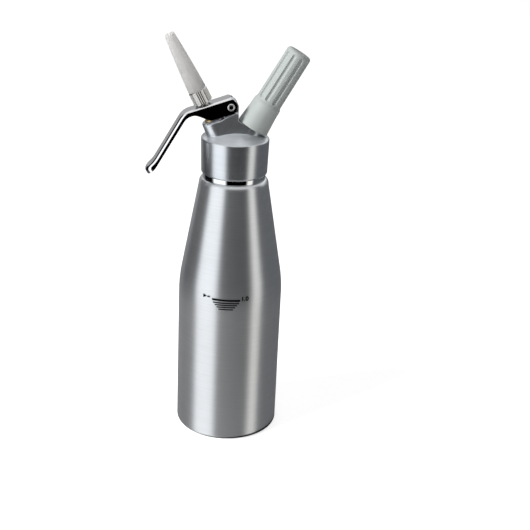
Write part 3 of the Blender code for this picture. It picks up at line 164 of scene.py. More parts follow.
class MarkSizes(bpy.types.PropertyGroup):
    """Driving dimensions of the printed filling mark."""
    height: length("Height", 149.1, "Height of the filling line's middle")
    azimuth: turned_by("Azimuth", -11.1, "Direction of the mark's middle, from the front toward +X")
    line_width: length("Line Width", 26.4, "Width of the filling line")
    line_thickness: length("Line Thickness", 1.9, "Thickness of the filling line")
    bar_count: IntProperty(name="Bars", description="Bars under the filling line", default=4, min=0)
    first_bar: length("First Bar", 2.8, "Distance from the filling line to the first bar")
    bar_width: length("Bar Width", 24.6, "Width of the first bar")
    bar_step: length("Bar Step", 3.65, "How much narrower each bar is than the one above")
    bar_thickness: length("Bar Thickness", 1.15, "Thickness of a bar")
    bar_pitch: length("Bar Pitch", 2.1, "Distance from bar to bar")
    film: length("Film", 0.04, "How far the print lies in and on the wall")
    number_height: length("Number Height", 4.3, "Height of the number beside the line")
    stroke: length("Extra Stroke", 0.2, "How far the number's strokes are thickened")
    number_gap: length("Number Gap", 0.9, "Gap between the line and the number")
    pointer_gap: length("Pointer Gap", 2.4, "Gap between the dash and the line")
    pointer: length("Pointer", 3.5, "Length and width of the pointer beside the line")
    dash: length("Dash", 2.6, "Length of the dash between pointer and line")
    dash_gap: length("Dash Gap", 0.7, "Gap between pointer and dash")
    facet: length("Facet", 0.5, "Length from which an edge is divided to follow the wall")


class HeadSizes(bpy.types.PropertyGroup):
    """Driving dimensions of the head."""
    foot: measured("Foot Height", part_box("head")[0].z, "Height of the skirt's lower edge")
    foot_radius: length("Foot Radius", 30.7, "Radius at the foot of the skirt")
    top_radius: length("Top Radius", 31.5, "Radius at the top of the skirt")
    skirt: length("Skirt Height", 31.4, "Height of the skirt")
    foot_round: length("Foot Round", 1.0, "Radius on the skirt's lower edge")
    top_round: length("Top Round", 1.8, "Radius between skirt and dome")
    dome: length("Dome Rise", 5.6, "Rise of the dome")
    dome_sink: length("Dome Sink", 0.12, "How far the block's own dome lies under the cap's")
    finish_start: length("Finish Start", 0.5, "Height over the skirt at which the dome's finish starts")
    finish_end: length("Finish End", 2.5, "Height over the skirt at which the dome's finish is full")
    root: length("Thread Root", 27.7, "Inner radius of the skirt")
    thread_depth: length("Thread Depth", 1.2, "Height of the thread's ridge in the skirt")
    thread_rise: length("Thread Rise", 6.3, "Start of the skirt's thread above its lower edge")
    thread_pitch: length("Thread Pitch", 5.0, "Rise of the skirt's thread in one turn")
    thread_turns: share("Thread Turns", 2.3, "Turns of the skirt's thread")
    seat: length("Seat Height", 282.0, "Height of the face that presses on the gasket")
    ceiling: length("Ceiling Height", 285.0, "Height of the ceiling inside")
    ceiling_radius: length("Ceiling Radius", 21.5, "Radius of the ceiling")
    block: length("Block Thickness", 19.4, "Thickness of the block across the lever")
    ear: length("Ear Thickness", 15.2, "Thickness of the ear between the lever's cheeks")
    ear_radius: length("Ear Radius", 6.8, "Radius of the ear round the pivot")
    ear_ahead: length("Ear Ahead", 0.5, "Distance of the ear's centre ahead of the pivot")
    ear_drop: length("Ear Drop", 0.6, "Distance of the ear's centre below the pivot")
    boss_drop: length("Boss Drop", 16.8, "Distance from the adapter down to the nozzle boss")
    boss_top: length("Boss Top Radius", 10.1, "Radius of the nozzle boss at its top")
    boss_foot: length("Boss Foot Radius", 11.3, "Radius of the nozzle boss at its foot")
    boss_taper: length("Boss Taper", 13.0, "Length of the nozzle boss's taper")
    boss_depth: length("Boss Depth", 21.0, "Whole length of the nozzle boss")
    boss_lip: length("Boss Lip", 1.5, "Radius on the nozzle boss's rim")
    flank: length("Boss Flank", 15.0, "Length over which the web widens to the nozzle boss")
    charger_boss: length("Charger Boss Radius", 10.4, "Radius of the charger boss")
    charger_depth: length("Charger Boss Depth", 12.0, "Length of the charger boss")
    holder_gap: length("Holder Gap", 0.4, "Gap between charger boss and holder")
    shoulder_reach: length("Shoulder Reach", 14.6, "Reach of the web's shoulder beside the charger axis")
    shoulder_rise: length("Shoulder Rise", 1.7, "Rise of the web's shoulder")
    corner_round: length("Corner Round", 3.2, "Radius at the end of the milled ledge")
    ledge_clearance: length("Ledge Clearance", 0.5, "Gap between the squeezed lever and the ledge")
    stub_radius: length("Stub Radius", 9.6, "Radius of the threaded stub")
    stub: length("Stub Height", 13.0, "Height of the threaded stub")
    stub_chamfer: length("Stub Chamfer", 0.8, "Chamfer on the stub's end")
    stub_bore: length("Stub Bore", 5.3, "Radius of the gas valve's bore")
    stub_pitch: length("Stub Pitch", 3.0, "Rise of the stub thread in one turn")
    stub_turns: share("Stub Turns", 2.3, "Turns of the stub thread")
    stub_depth: length("Stub Thread Depth", 0.8, "Height of the stub thread's ridge")
    stub_rise: length("Stub Thread Rise", 2.0, "Start of the stub thread above the holder's seat")
    gas_passage: length("Gas Passage", 2.5, "Radius of the passage under the gas valve")
    valve_depth: length("Valve Depth", 14.3, "Depth of the gas valve's bore")
    voxel: length("Grain", 0.42, "Size of the cells that blend the block's edges")


class LeverSizes(bpy.types.PropertyGroup):
    """Driving dimensions of the lever, measured along and above its plate from the pivot."""
    width: length("Width", 18.4, "Width across the cheeks")
    sheet: length("Sheet", 1.2, "Thickness of the sheet")
    slope: turned_by("Slope", 18.6, "Slope of the plate")
    travel: turned_by("Travel", 6.0, "How far the lever can be squeezed")
    edge_round: length("Edge Round", 2.2, "Radius along the plate's edges")
    handle_round: length("Handle Round", 3.5, "Radius along the handle's edges")
    start: length("Start", 9.0, "Where distances along the lever are counted from, ahead of the pivot")
    plate: length("Plate Rise", 8.05, "Rise of the plate over the pivot")
    cheek_drop: length("Cheek Drop", 6.4, "Reach of the cheeks below the pivot")
    cheek_end_rise: length("Cheek End Rise", 8.6, "Height of the cheeks' rounded end")
    cheek_end_back: length("Cheek End Back", 0.7, "Distance of the rounded end's centre behind the pivot")
    cheek_straight: length("Cheek Straight", 18.5, "Length of the cheeks' straight edge")
    cheek_curve: length("Cheek Curve", 16.9, "Length over which the cheeks narrow")
    bend_start: length("Bend Start", 36.8, "Start of the bend")
    bend_radius: length("Bend Radius", 16.0, "Radius of the bend")
    bend_angle: turned_by("Bend Angle", 41.3, "Angle of the bend")
    bend_depth: length("Bend Depth", 4.9, "Depth of the flanges at the bend")
    handle: length("Handle Length", 42.2, "Length of the straight handle")
    flare: length("Handle Flare", 24.0, "Length over which the flanges change to the handle's depth")
    handle_depth: length("Handle Depth", 4.8, "Depth of the handle's flanges")
    flick_radius: length("Flick Radius", 30.0, "Radius of the flicked tip")
    flick_angle: turned_by("Flick Angle", 29.0, "Angle of the flicked tip")
    tip: length("Tip Length", 6.8, "Length of the rounded tip in plan")
    tip_depth: length("Tip Depth", 6.6, "Depth of the flange round the tip")
    hole: length("Plate Hole", 5.6, "Radius of the hole for the piston")
    hole_ahead: length("Plate Hole Ahead", 0.5, "Distance of the hole ahead of the piston's middle")
    burr: length("Edge Break", 0.22, "Radius on the sheet's cut edges")
    rivet: length("Rivet Radius", 2.6, "Radius of the rivet")
    rivet_bore: length("Rivet Bore", 1.9, "Radius of the rivet's bore")
    rivet_head: length("Rivet Head", 3.35, "Radius of the rivet's rolled head")
    rivet_rise: length("Rivet Head Thickness", 0.9, "Thickness of the rivet's rolled head")


class ValveSizes(bpy.types.PropertyGroup):
    """Driving dimensions of the piston, the springs, the gland nut and the adapter."""
    piston: length("Piston Radius", 4.0, "Radius of the piston")
    piston_bore: length("Piston Bore", 2.4, "Radius of the piston's bore")
    piston_top: length("Piston Top", 7.6, "Height of the piston's top over the adapter's foot")
    edge_round: length("Edge Round", 0.25, "Radius on the turned edges")
    collar: length("Collar Radius", 6.2, "Radius of the collar under the lever's plate")
    collar_top: length("Collar Top", -4.3, "Height of the collar's upper face")
    collar_foot: length("Collar Foot", -6.9, "Height of the collar's lower face")
    land: length("Land Radius", 5.0, "Radius of the land that carries the O-ring")
    land_top: length("Land Top", -30.6, "Height of the land's upper face")
    groove: length("Groove Width", 2.3, "Width of the O-ring's groove")
    groove_depth: length("Groove Depth", 1.6, "Depth of the O-ring's groove")
    land_lip: length("Land Lip", 1.0, "Thickness of the land above and below the groove")
    port_foot: length("Port Body Foot", -38.4, "Height at which the piston narrows to its stem")
    port_height: length("Port Height", -36.65, "Height of the cross port")
    port: length("Port Radius", 1.2, "Radius of the cross port")
    stem: length("Stem Radius", 2.2, "Radius of the stem that carries the valve's disc")
    stem_foot: length("Stem Foot", -45.6, "Height of the stem's foot")
    thread_depth: length("Thread Depth", 0.5, "Height of the adapter thread's ridge")
    thread_pitch: length("Thread Pitch", 1.8, "Rise of the adapter thread in one turn")
    thread_turns: share("Thread Turns", 2.2, "Turns of the adapter thread")
    thread_rise: length("Thread Rise", 1.3, "Start of the adapter thread")
    gland: length("Gland Head Radius", 6.6, "Radius of the gland nut's head")
    gland_head: length("Gland Head", 3.7, "Thickness of the gland nut's head")
    gland_top: length("Gland Top", -15.8, "Height of the gland nut's top")
    gland_sleeve: length("Gland Sleeve", 5.9, "Radius of the gland nut's sleeve")
    gland_length: length("Gland Length", 14.2, "Whole length of the gland nut")
    gland_bore: length("Gland Bore", 4.4, "Radius of the gland nut's bore")
    slot: length("Slot Width", 2.0, "Width of the spanner slot")
    slot_depth: length("Slot Depth", 1.1, "Depth of the spanner slot")
    seat: length("Seat", -40.0, "Height of the seat that the valve's disc closes")
    seat_bore: length("Seat Bore", 5.4, "Radius of the bore above the seat")
    pocket: length("Pocket Radius", 8.2, "Radius of the pocket under the seat")
    spring: length("Spring Radius", 5.15, "Radius of the spring to the middle of its wire")
    wire: length("Spring Wire", 0.45, "Radius of the spring's wire")
    curls: share("Spring Curls", 3.0, "Open turns of the spring")
    end_curls: share("Spring End Curls", 0.7, "Close turns at each end")
    end_gap: length("Spring End Gap", 0.48, "Gap in the close turns")
    check_spring: length("Check Spring Radius", 1.9, "Radius of the check spring to the middle of its wire")
    check_wire: length("Check Spring Wire", 0.25, "Radius of the check spring's wire")
    adapter: length("Adapter Radius", 8.8, "Radius over the adapter's knurl")
    adapter_height: length("Adapter Height", 13.2, "Height of the adapter")
    adapter_chamfer: length("Adapter Chamfer", 0.6, "Chamfer on the adapter's edges")
    adapter_floor: length("Adapter Floor", 7.0, "Height of the floor in the adapter")
    adapter_wall: length("Adapter Wall", 1.4, "Wall round the adapter's cup")
    knurl_count: IntProperty(name="Knurl Ridges", description="Ridges round the adapter", default=30, min=3)
    knurl: length("Knurl Depth", 0.35, "Height of a ridge")
    knurl_share: share("Knurl Share", 0.62, "Width of a ridge as a share of the ridges' pitch")


class NozzleSizes(bpy.types.PropertyGroup):
    """Driving dimensions of the nozzle."""
    foot: length("Foot", 13.5, "Height of the flange over the adapter's foot")
    shank_foot: length("Shank Foot", 8.8, "Height of the shank's lower end")
    shank: length("Shank Radius", 7.1, "Radius of the shank in the adapter")
    base: length("Base Radius", 8.4, "Radius of the base")
    lip: length("Base Lip", 1.2, "Height of the straight lip at the base")
    neck_height: length("Neck Height", 63.5, "Height at which the mouth starts")
    neck: length("Neck Radius", 5.1, "Radius where the mouth starts")
    top: length("Length", 69.0, "Height of the mouth's edge")
    mouth: length("Mouth Radius", 4.5, "Radius of the mouth")
    bulge: length("Bulge", 0.25, "How far the middle stands out from a straight taper")
    wall: length("Wall", 1.3, "Thickness of the wall")
    edge_round: length("Edge Round", 0.3, "Radius on the moulded edges")
    neck_round: length("Neck Round", 2.0, "Radius where the mouth starts")
    teeth: IntProperty(name="Teeth", description="Teeth round the mouth", default=8, min=1)
    notch: length("Notch Depth", 4.0, "Depth of the notches between the teeth")
    notch_width: length("Notch Width", 1.3, "Width of a notch at the mouth's edge")
    notch_phase: turned_by("Notch Phase", 4.0, "Direction of the first notch")


class HolderSizes(bpy.types.PropertyGroup):
    """Driving dimensions of the charger holder."""
    length: length("Length", 80.3, "Whole length of the holder")
    mouth: length("Mouth Radius", 15.0, "Radius at the mouth")
    mouth_round: length("Mouth Round", 0.8, "Radius on the mouth's edge")
    skirt: length("Skirt Radius", 13.6, "Radius at the top of the skirt")
    skirt_height: length("Skirt Height", 17.0, "Height of the skirt")
    skirt_round: length("Skirt Round", 6.0, "Radius between skirt and shoulder")
    shoulder: length("Shoulder Radius", 13.4, "Radius at the shoulder")
    shoulder_height: length("Shoulder Height", 24.4, "Height of the shoulder")
    shoulder_round: length("Shoulder Round", 3.8, "Height over which the shoulder eases into the grip")
    grip: length("Grip Radius", 12.2, "Radius at the foot of the grip")
    end: length("End Radius", 11.85, "Radius at the closed end")
    end_round: length("End Round", 3.0, "Radius round the closed end")
    bore: length("Bore Radius", 9.8, "Radius of the bore for the charger")
    bore_end: length("Bore End", 77.3, "Depth of the bore")
    bore_round: length("Bore Round", 5.0, "Radius round the end of the bore")
    thread_root: length("Thread Root", 11.0, "Inner radius at the mouth")
    thread_length: length("Thread Length", 14.2, "Length of the wide bore at the mouth")
    thread_depth: length("Thread Depth", 0.9, "Height of the thread's ridge")
    thread_rise: length("Thread Rise", 3.5, "Start of the thread above the mouth")
    thread_pitch: length("Thread Pitch", 3.0, "Rise of the thread in one turn")
    thread_turns: share("Thread Turns", 2.3, "Turns of the thread")
    flutes: IntProperty(name="Flutes", description="Grooves round the grip", default=10, min=1)
    flute_phase: turned_by("Flute Phase", 29.0, "Direction of the first groove")
    flute_depth: length("Flute Depth", 1.85, "Depth of a groove")
    flute_radius: length("Flute Radius", 2.15, "Radius of a groove")
    flute_start: length("Flute Start", 28.4, "Height at which the grooves start")
    flute_end: length("Flute End", 76.7, "Height at which the grooves end")
    lip_round: length("Groove Lip Round", 0.25, "Rounding where a groove meets the grip")


class FinishColours(bpy.types.PropertyGroup):
    """Colours and metal of the finishes."""
    barrel: tint("Barrel Aluminium", (0.618, 0.63, 0.642), "Brushed barrel")
    cone: tint("Cone Aluminium", (0.61, 0.63, 0.65), "Brushed cone")
    head: tint("Head Aluminium", (0.592, 0.617, 0.645), "Brushed cap and tumbled block")
    chrome: tint("Chrome", (0.78, 0.78, 0.79), "Lever and rivet")
    steel: tint("Steel", (0.60, 0.59, 0.57), "Adapter, piston and springs")
    brass: tint("Brass", (0.72, 0.52, 0.25), "Gland nut and gas valve")
    rubber: tint("Rubber", (0.03, 0.03, 0.032), "Seals")
    silicone: tint("Silicone", (0.62, 0.60, 0.56), "Gaskets and washers")
    nozzle: tint("Nozzle", (0.815, 0.81, 0.805), "Frosted nozzle")
    holder: tint("Holder", (0.44, 0.475, 0.46), "Moulded holder")
    ink: tint("Ink", (0.003, 0.003, 0.003), "Printed filling mark")
    barrel_metal: share("Barrel Metal", 0.76, "How metallic the barrel is")
    cone_metal: share("Cone Metal", 0.88, "How metallic the cone is")
    cap_metal: share("Cap Metal", 0.95, "How metallic the cap's skirt is")
    dome_metal: share("Dome Metal", 0.6, "How metallic the cap's dome is")
    haze: share("Nozzle Haze", 0.72, "Share of the light that shines through the nozzle")


class StageSettings(bpy.types.PropertyGroup):
    """Camera, floor and light."""
    camera_place: spot("Camera", (-0.118358, -0.963951, 0.566211), "Place of the camera")
    yaw: turned_by("Yaw", 8.930868, "Turn of the camera to the right")
    pitch: turned_by("Pitch", -22.391191, "Tilt of the camera")
    roll: turned_by("Roll", 2.692902, "Roll of the camera")
    lens: share("Lens", 74.17, "Focal length in millimetres")
    sensor: share("Sensor", 36.0, "Width of the sensor in millimetres")
    floor_size: length("Floor Size", 12000, "Width of the floor")
    floor_drop: length("Floor Drop", 0.05, "Gap between the object and the floor")
    floor_glow: share("Floor Glow", 0.75, "How much lighter the floor looks than it is lit")
    ambient: share("Ambient", 0.27, "Level of the light from all round")
    lamp_aim: spot("Lamp Aim", (0, 0, 0.2), "Place that both lamps shine at")
    key: share("Key", 38.0, "Power of the lamp on the left")
    key_place: spot("Key Place", (-1.5, -0.6, 1.2), "Place of the lamp on the left")
    key_size: length("Key Size", 700, "Width of the lamp on the left")
    fill: share("Fill", 1.5, "Power of the lamp on the right")
    fill_place: spot("Fill Place", (1.3, -0.8, 0.9), "Place of the lamp on the right")
    fill_size: length("Fill Size", 900, "Width of the lamp on the right")
    flag_radius: length("Flag Radius", 1900, "Radius of the dark flags round the object")
    flag_top: length("Flag Top", 1500, "Height of the flags")
    flag_foot: length("Flag Foot", -2600, "How far the flags reach below the floor")
    eye: length("Flag Middle", 250, "Height from which the cards' elevations are measured")
    shade_radius: length("Shade Radius", 51, "Radius of the dark disc that the foot mirrors")
    shade_drop: length("Shade Drop", 0.03, "Depth of the disc under the object")
    shade_aside: length("Shade Aside", 3.0, "Distance of the disc's middle to the right")


GROUPS = {
    "bottle": BottleSizes, "mark": MarkSizes, "head": HeadSizes, "lever": LeverSizes, "valve": ValveSizes,
    "nozzle": NozzleSizes, "holder": HolderSizes, "colours": FinishColours, "stage": StageSettings,
}


# Node trees

class Field:
    """One output of a node tree. Arithmetic on it adds Math nodes."""

    def __init__(self, nodes, socket):
        self.nodes = nodes
        self.socket = socket

    def out(self, name):
        """Another output of the same node."""
        return Field(self.nodes, self.socket.node.outputs[name])

    def __add__(self, other):
        return self.nodes.math('ADD', self, other)

    def __radd__(self, other):
        return self.nodes.math('ADD', other, self)

    def __sub__(self, other):
        return self.nodes.math('SUBTRACT', self, other)

    def __rsub__(self, other):
        return self.nodes.math('SUBTRACT', other, self)

    def __mul__(self, other):
        return self.nodes.math('MULTIPLY', self, other)

    def __rmul__(self, other):
        return self.nodes.math('MULTIPLY', other, self)

    def __truediv__(self, other):
        return self.nodes.math('DIVIDE', self, other)

    def __lt__(self, other):
        return self.nodes.math('LESS_THAN', self, other)


class Nodes:
    """A node tree that is being written."""

    def __init__(self, tree):
        self.tree = tree

    def add(self, kind, settings=None, inputs=None, output=0):
        """Adds a node: its settings first, then the values or links of its sockets."""
        node = self.tree.nodes.new(kind)
        for name, value in (settings or {}).items():
            setattr(node, name, value)
        for name, value in (inputs or {}).items():
            if isinstance(value, Field):
                self.tree.links.new(value.socket, node.inputs[name])
            else:
                node.inputs[name].default_value = value
        return Field(self, node.outputs[output]) if node.outputs else node

    def math(self, operation, *values):
        """A Math node."""
        return self.add('ShaderNodeMath', {'operation': operation}, dict(enumerate(values)))

    def least(self, *values):
        """The smallest of some values."""
        result = values[0]
        for value in values[1:]:
            result = self.math('MINIMUM', result, value)
        return result

    def between(self, value, low, high):
        """A value kept between two others."""
        return self.math('MINIMUM', self.math('MAXIMUM', value, low), high)

    def ramp(self, value, low, high):
        """A smooth step from 0 at low to 1 at high."""
        return self.add('ShaderNodeMapRange', {'interpolation_type': 'SMOOTHSTEP'},
                        {'Value': value, 'From Min': low, 'From Max': high})

    def vector(self, operation, *values):
        """A Vector Math node."""
        return self.add('ShaderNodeVectorMath', {'operation': operation}, dict(enumerate(values)))

    def combine(self, x, y, z):
        """A vector of three values."""
        return self.add('ShaderNodeCombineXYZ', None, {'X': x, 'Y': y, 'Z': z})

    def mix(self, factor, first, second):
        """A colour between two others."""
        return self.add('ShaderNodeMix', {'data_type': 'RGBA'}, {0: factor, 6: first, 7: second}, 2)

    def noise(self, place, scale, detail=2.0, roughness=0.5):
        """A noise between 0 and 1, with its own scale along each axis."""
        stretched = self.vector('MULTIPLY', place, scale)
        return self.add('ShaderNodeTexNoise', None,
                        {'Vector': stretched, 'Scale': 1.0, 'Detail': detail, 'Roughness': roughness})

    def bump(self, height, strength, distance):
        """A normal that a height bends."""
        return self.add('ShaderNodeBump', None,
                        {'Height': height, 'Strength': strength, 'Distance': distance})


BRUSH_DEPTH = 0.04 * MM
CAST_DEPTH = 0.05 * MM
POLISH_DEPTH = 0.1 * MM
MOULD_DEPTH = 0.03 * MM


def paint(name):
    """A new material, its nodes and the object coordinates on its surface."""
    mat = bpy.data.materials.new(name)
    mat.use_nodes = True
    mat.node_tree.nodes.clear()
    nodes = Nodes(mat.node_tree)
    return mat, nodes, nodes.add('ShaderNodeTexCoord').out('Object')


def surface(nodes, shader):
    """Ends a material in a shader."""
    nodes.add('ShaderNodeOutputMaterial', None, {'Surface': shader})


def cover(nodes, inputs):
    """Ends a material in a Principled shader."""
    surface(nodes, nodes.add('ShaderNodeBsdfPrincipled', None, inputs))


def shine(nodes, light):
    """Ends a material in plain light."""
    surface(nodes, nodes.add('ShaderNodeEmission', None, {'Color': light, 'Strength': 1.0}))


def shade(colour, factor=1.0):
    """A colour as a socket takes it, made lighter or darker."""
    return (*(min(channel * factor, 1.0) for channel in colour), 1.0)


def brushed(name, colours, metals, turn, ring=None, foot=0.0):
    """Aluminium brushed round Z. It changes between two heights, shines on a ring and is dark at its foot
    with painted shade.
    """
    mat, nodes, place = paint(name)
    parted = nodes.add('ShaderNodeSeparateXYZ', None, {0: place})
    height = parted.out('Z')
    streaks = nodes.noise(place, (22, 22, 1500), 4, 0.6)
    grain = nodes.noise(place, (90, 90, 7000), 2, 0.6)
    patches = nodes.noise(place, (9, 9, 14), 2)
    tone = 0.5 * streaks + 0.3 * grain + 0.2 * patches
    rough = 0.27 + 0.10 * tone
    upper = nodes.ramp(height, *turn)
    metal = metals[0] * (1 - upper) + metals[1] * upper
    dark = nodes.mix(upper, shade(colours[0], 0.9), shade(colours[1], 0.9))
    bright = nodes.mix(upper, shade(colours[0], 1.05), shade(colours[1], 1.05))
    colouring = nodes.mix(nodes.ramp(tone, 0.3, 0.7), dark, bright)
    relief = 0.6 * streaks + 0.4 * grain
    # Painted shade round the foot. The colour darkens to a tenth near the floor and reaches higher toward +X,
    # standing in for the floor's reflected shadow.
    if foot:
        shadow_lean = 0.05
        level = height - shadow_lean * parted.out('X')
        colouring = nodes.mix(nodes.ramp(level, foot, 0.75 * foot), colouring, shade(colours[0], 0.1))
    if ring:
        low, high = ring
        polish = nodes.ramp(height, low - FIT, low) * (1 - nodes.ramp(height, high, high + FIT))
        rough = rough * (1 - polish) + 0.05 * polish
        relief = relief * (1 - polish)
        colouring = nodes.mix(polish, colouring, shade(colours[0], 1.15))
        metal = metal * (1 - polish) + polish
    cover(nodes, {'Base Color': colouring, 'Roughness': rough, 'Metallic': metal, 'Anisotropic': 0.6,
                  'Anisotropic Rotation': 0.25, 'Normal': nodes.bump(relief, 0.12, BRUSH_DEPTH)})
    return mat


def tumbled(name, colour):
    """Cast aluminium, machined and tumbled to a satin face."""
    mat, nodes, place = paint(name)
    grain = nodes.noise(place, (1500, 1500, 1500), 3, 0.6)
    clouds = nodes.noise(place, (120, 120, 120), 3)
    tone = nodes.ramp(0.5 * grain + 0.5 * clouds, 0.3, 0.7)
    colouring = nodes.mix(tone, shade(colour, 0.92), shade(colour, 1.05))
    cover(nodes, {'Base Color': colouring, 'Roughness': 0.25 + 0.1 * clouds, 'Metallic': 0.87,
                  'Normal': nodes.bump(grain, 0.1, CAST_DEPTH)})
    return mat


def plated(name, colour, roughness):
    """Bright metal with a trace of polishing marks."""
    mat, nodes, place = paint(name)
    swirl = nodes.noise(place, (260, 260, 260), 3)
    marks = nodes.noise(place, (2500, 300, 2500), 2)
    colouring = nodes.mix(swirl, shade(colour, 0.94), shade(colour, 1.03))
    cover(nodes, {'Base Color': colouring, 'Roughness': roughness * (0.7 + 0.4 * swirl + 0.3 * marks),
                  'Metallic': 1.0, 'Normal': nodes.bump(swirl, 0.03, POLISH_DEPTH)})
    return mat


def rivet_steel(colour, pivot, bore):
    """Bright steel, with painted shade in the bore round the pivot, where it is dark, dull and not metallic.
    """
    mat, nodes, place = paint("rivet_steel")
    aside_pivot = nodes.vector('MULTIPLY', nodes.vector('SUBTRACT', place, pivot), (1, 0, 1))
    radius = nodes.add('ShaderNodeVectorMath', {'operation': 'LENGTH'}, {0: aside_pivot}, 'Value')
    # Painted shade in the bore: 0 inside the bore, where the colour is nearly black, and 1 on the bright
    # steel outside it.
    outside_bore_shade = nodes.ramp(radius, bore + FIT / 6, bore + FIT)
    swirl = nodes.noise(place, (260, 260, 260), 3)
    bright = nodes.mix(swirl, shade(colour, 0.9), shade(colour, 1.03))
    colouring = nodes.mix(outside_bore_shade, shade(colour, 0.03), bright)
    cover(nodes, {'Base Color': colouring, 'Roughness': 0.8 - (0.7 - 0.06 * swirl) * outside_bore_shade, 'Metallic': outside_bore_shade,
                  'Normal': nodes.bump(swirl, 0.03, POLISH_DEPTH)})
    return mat


def moulded(name, colour, roughness, gloss=0.5):
    """Rubber or plastic from a mould, with a fine dull skin."""
    mottle = 0.04
    mat, nodes, place = paint(name)
    skin = nodes.noise(place, (2600, 2600, 2600), 2)
    clouds = nodes.noise(place, (70, 70, 70), 3)
    colouring = nodes.mix(clouds, shade(colour, 1 - mottle), shade(colour, 1 + mottle))
    cover(nodes, {'Base Color': colouring, 'Roughness': roughness + 0.08 * (clouds - 0.5),
                  'Specular IOR Level': gloss, 'Normal': nodes.bump(skin, 0.12, MOULD_DEPTH)})
    return mat


def frosted(name, colour, haze, matrix, low, high):
    """Milky plastic that lets light through, greyer toward its foot in painted shade, where more of it lies
    in the way, and lighter toward its tip.
    """
    mat, nodes, place = paint(name)
    axis = matrix.col[2].to_3d()
    up = nodes.add('ShaderNodeVectorMath', {'operation': 'DOT_PRODUCT'}, {0: place, 1: axis}, 'Value')
    # Painted shade and light: the colour goes from darker at the foot to lighter at the tip, standing in for
    # how light falls through the nozzle.
    rise = nodes.ramp(up - axis.dot(matrix.translation), low, high)
    skin = nodes.noise(place, (2200, 2200, 2200), 2)
    clouds = nodes.noise(place, (90, 90, 90), 3)
    tone = nodes.between(rise + 0.15 * (clouds - 0.5), 0, 1)
    colouring = nodes.mix(tone, shade(colour, 0.84), shade(colour, 1.04))
    face = nodes.add('ShaderNodeBsdfPrincipled', None,
                     {'Base Color': colouring, 'Roughness': 0.42 + 0.1 * clouds,
                      'Specular IOR Level': 0.3, 'Normal': nodes.bump(skin, 0.1, MOULD_DEPTH)})
    through = nodes.add('ShaderNodeBsdfTranslucent', None, {'Color': shade(colour)})
    surface(nodes, nodes.add('ShaderNodeMixShader', None, {0: haze, 1: face, 2: through}))
    return mat


# Shapes

def arc(centre, radii, start, end, step=ARC_STEP):
    """Points along part of an ellipse."""
    steps = max(2, math.ceil(abs(end - start) / step))
    points = []
    for i in range(steps + 1):
        angle = start + (end - start) * i / steps
        points.append((centre[0] + radii[0] * math.cos(angle), centre[1] + radii[1] * math.sin(angle)))
    return points


def fillet(outline, closed=False):
    """An outline with an arc at each corner whose point carries a radius after its two coordinates."""
    points = []
    last = len(outline) - 1
    for i, (x, y, *radius) in enumerate(outline):
        if not radius or not closed and i in (0, last):
            points.append((x, y))
            continue
        ends = [Vector(outline[i - 1][:2]), Vector(outline[(i + 1) % len(outline)][:2])]
        corner = Vector((x, y))
        arms = [(end - corner).normalized() for end in ends]
        half = arms[0].angle(arms[1]) / 2
        room = min((end - corner).length for end in ends) / 2 * math.tan(half)
        size = min(radius[0], room)
        centre = corner + (arms[0] + arms[1]).normalized() * size / math.sin(half)
        tips = [corner + arm * size / math.tan(half) - centre for arm in arms]
        start = math.atan2(tips[0].y, tips[0].x)
        turn = (math.atan2(tips[1].y, tips[1].x) - start + math.pi) % TURN - math.pi
        points += arc(centre, (size, size), start, start + turn)
    return points


def sheet_of(bm, rows, closed=False):
    """Faces between neighbouring rows of vertices; equal neighbours in a row shrink a face to a triangle."""
    count = len(rows[0])
    for near, far in zip(rows, rows[1:]):
        for i in range(count if closed else count - 1):
            j = (i + 1) % count
            corners = list(dict.fromkeys((near[i], near[j], far[j], far[i])))
            if len(corners) > 2:
                bm.faces.new(corners)


def skin_of(bm, rows, ends=()):
    """A closed skin over rows of vertices and the faces at its ends, which points outwards."""
    sheet_of(bm, rows, True)
    for end in ends:
        bm.faces.new(end)
    bmesh.ops.recalc_face_normals(bm, faces=bm.faces)
    return bm


def vertex_at(bm, radius, height, angle):
    """A new vertex at a radius, a height and an angle about local Z."""
    return bm.verts.new((radius * math.cos(angle), radius * math.sin(angle), height))


def lathe(profile, sides, ring=False):
    """Turns a profile of (radius, height) points about local Z. A point on the axis closes the shape."""
    bm = bmesh.new()
    rows = []
    for radius, height in profile:
        if radius < TOUCH:
            rows.append([bm.verts.new((0, 0, height))] * sides)
            continue
        rows.append([vertex_at(bm, radius, height, TURN * i / sides) for i in range(sides)])
    if ring:
        rows.append(rows[0])
    return skin_of(bm, rows)


def prism(outline, half):
    """An outline in the XZ plane, carried the same way to each side along Y."""
    bm = bmesh.new()
    sides = [[bm.verts.new((x, y, z)) for x, z in outline] for y in (-half, half)]
    return skin_of(bm, sides, sides)


def linked(name, data):
    """A new object in the scene."""
    obj = bpy.data.objects.new(name, data)
    bpy.context.scene.collection.objects.link(obj)
    return obj


def body_of(name, bm, matrix=UNTURNED):
    """A working object from a mesh in the making, its place baked in."""
    bm.transform(matrix)
    mesh = bpy.data.meshes.new(name)
    bm.to_mesh(mesh)
    bm.free()
    return linked(name, mesh)


def evaluated(obj):
    """The finished mesh of a working object, which is removed."""
    graph = bpy.context.evaluated_depsgraph_get()
    mesh = bpy.data.meshes.new_from_object(obj.evaluated_get(graph))
    bpy.data.objects.remove(obj)
    return mesh


def carve(obj, operation, bm, matrix=UNTURNED):
    """Joins a shape to a working object or cuts it out, and returns the working object."""
    tool = body_of("tool", bm, matrix)
    step = obj.modifiers.new("carve", 'BOOLEAN')
    step.operation = operation
    step.solver = 'EXACT'
    step.object = tool
    mesh = evaluated(obj)
    bpy.data.objects.remove(tool)
    if not mesh.polygons:
        raise RuntimeError("a carving left nothing over")
    return linked(mesh.name, mesh)


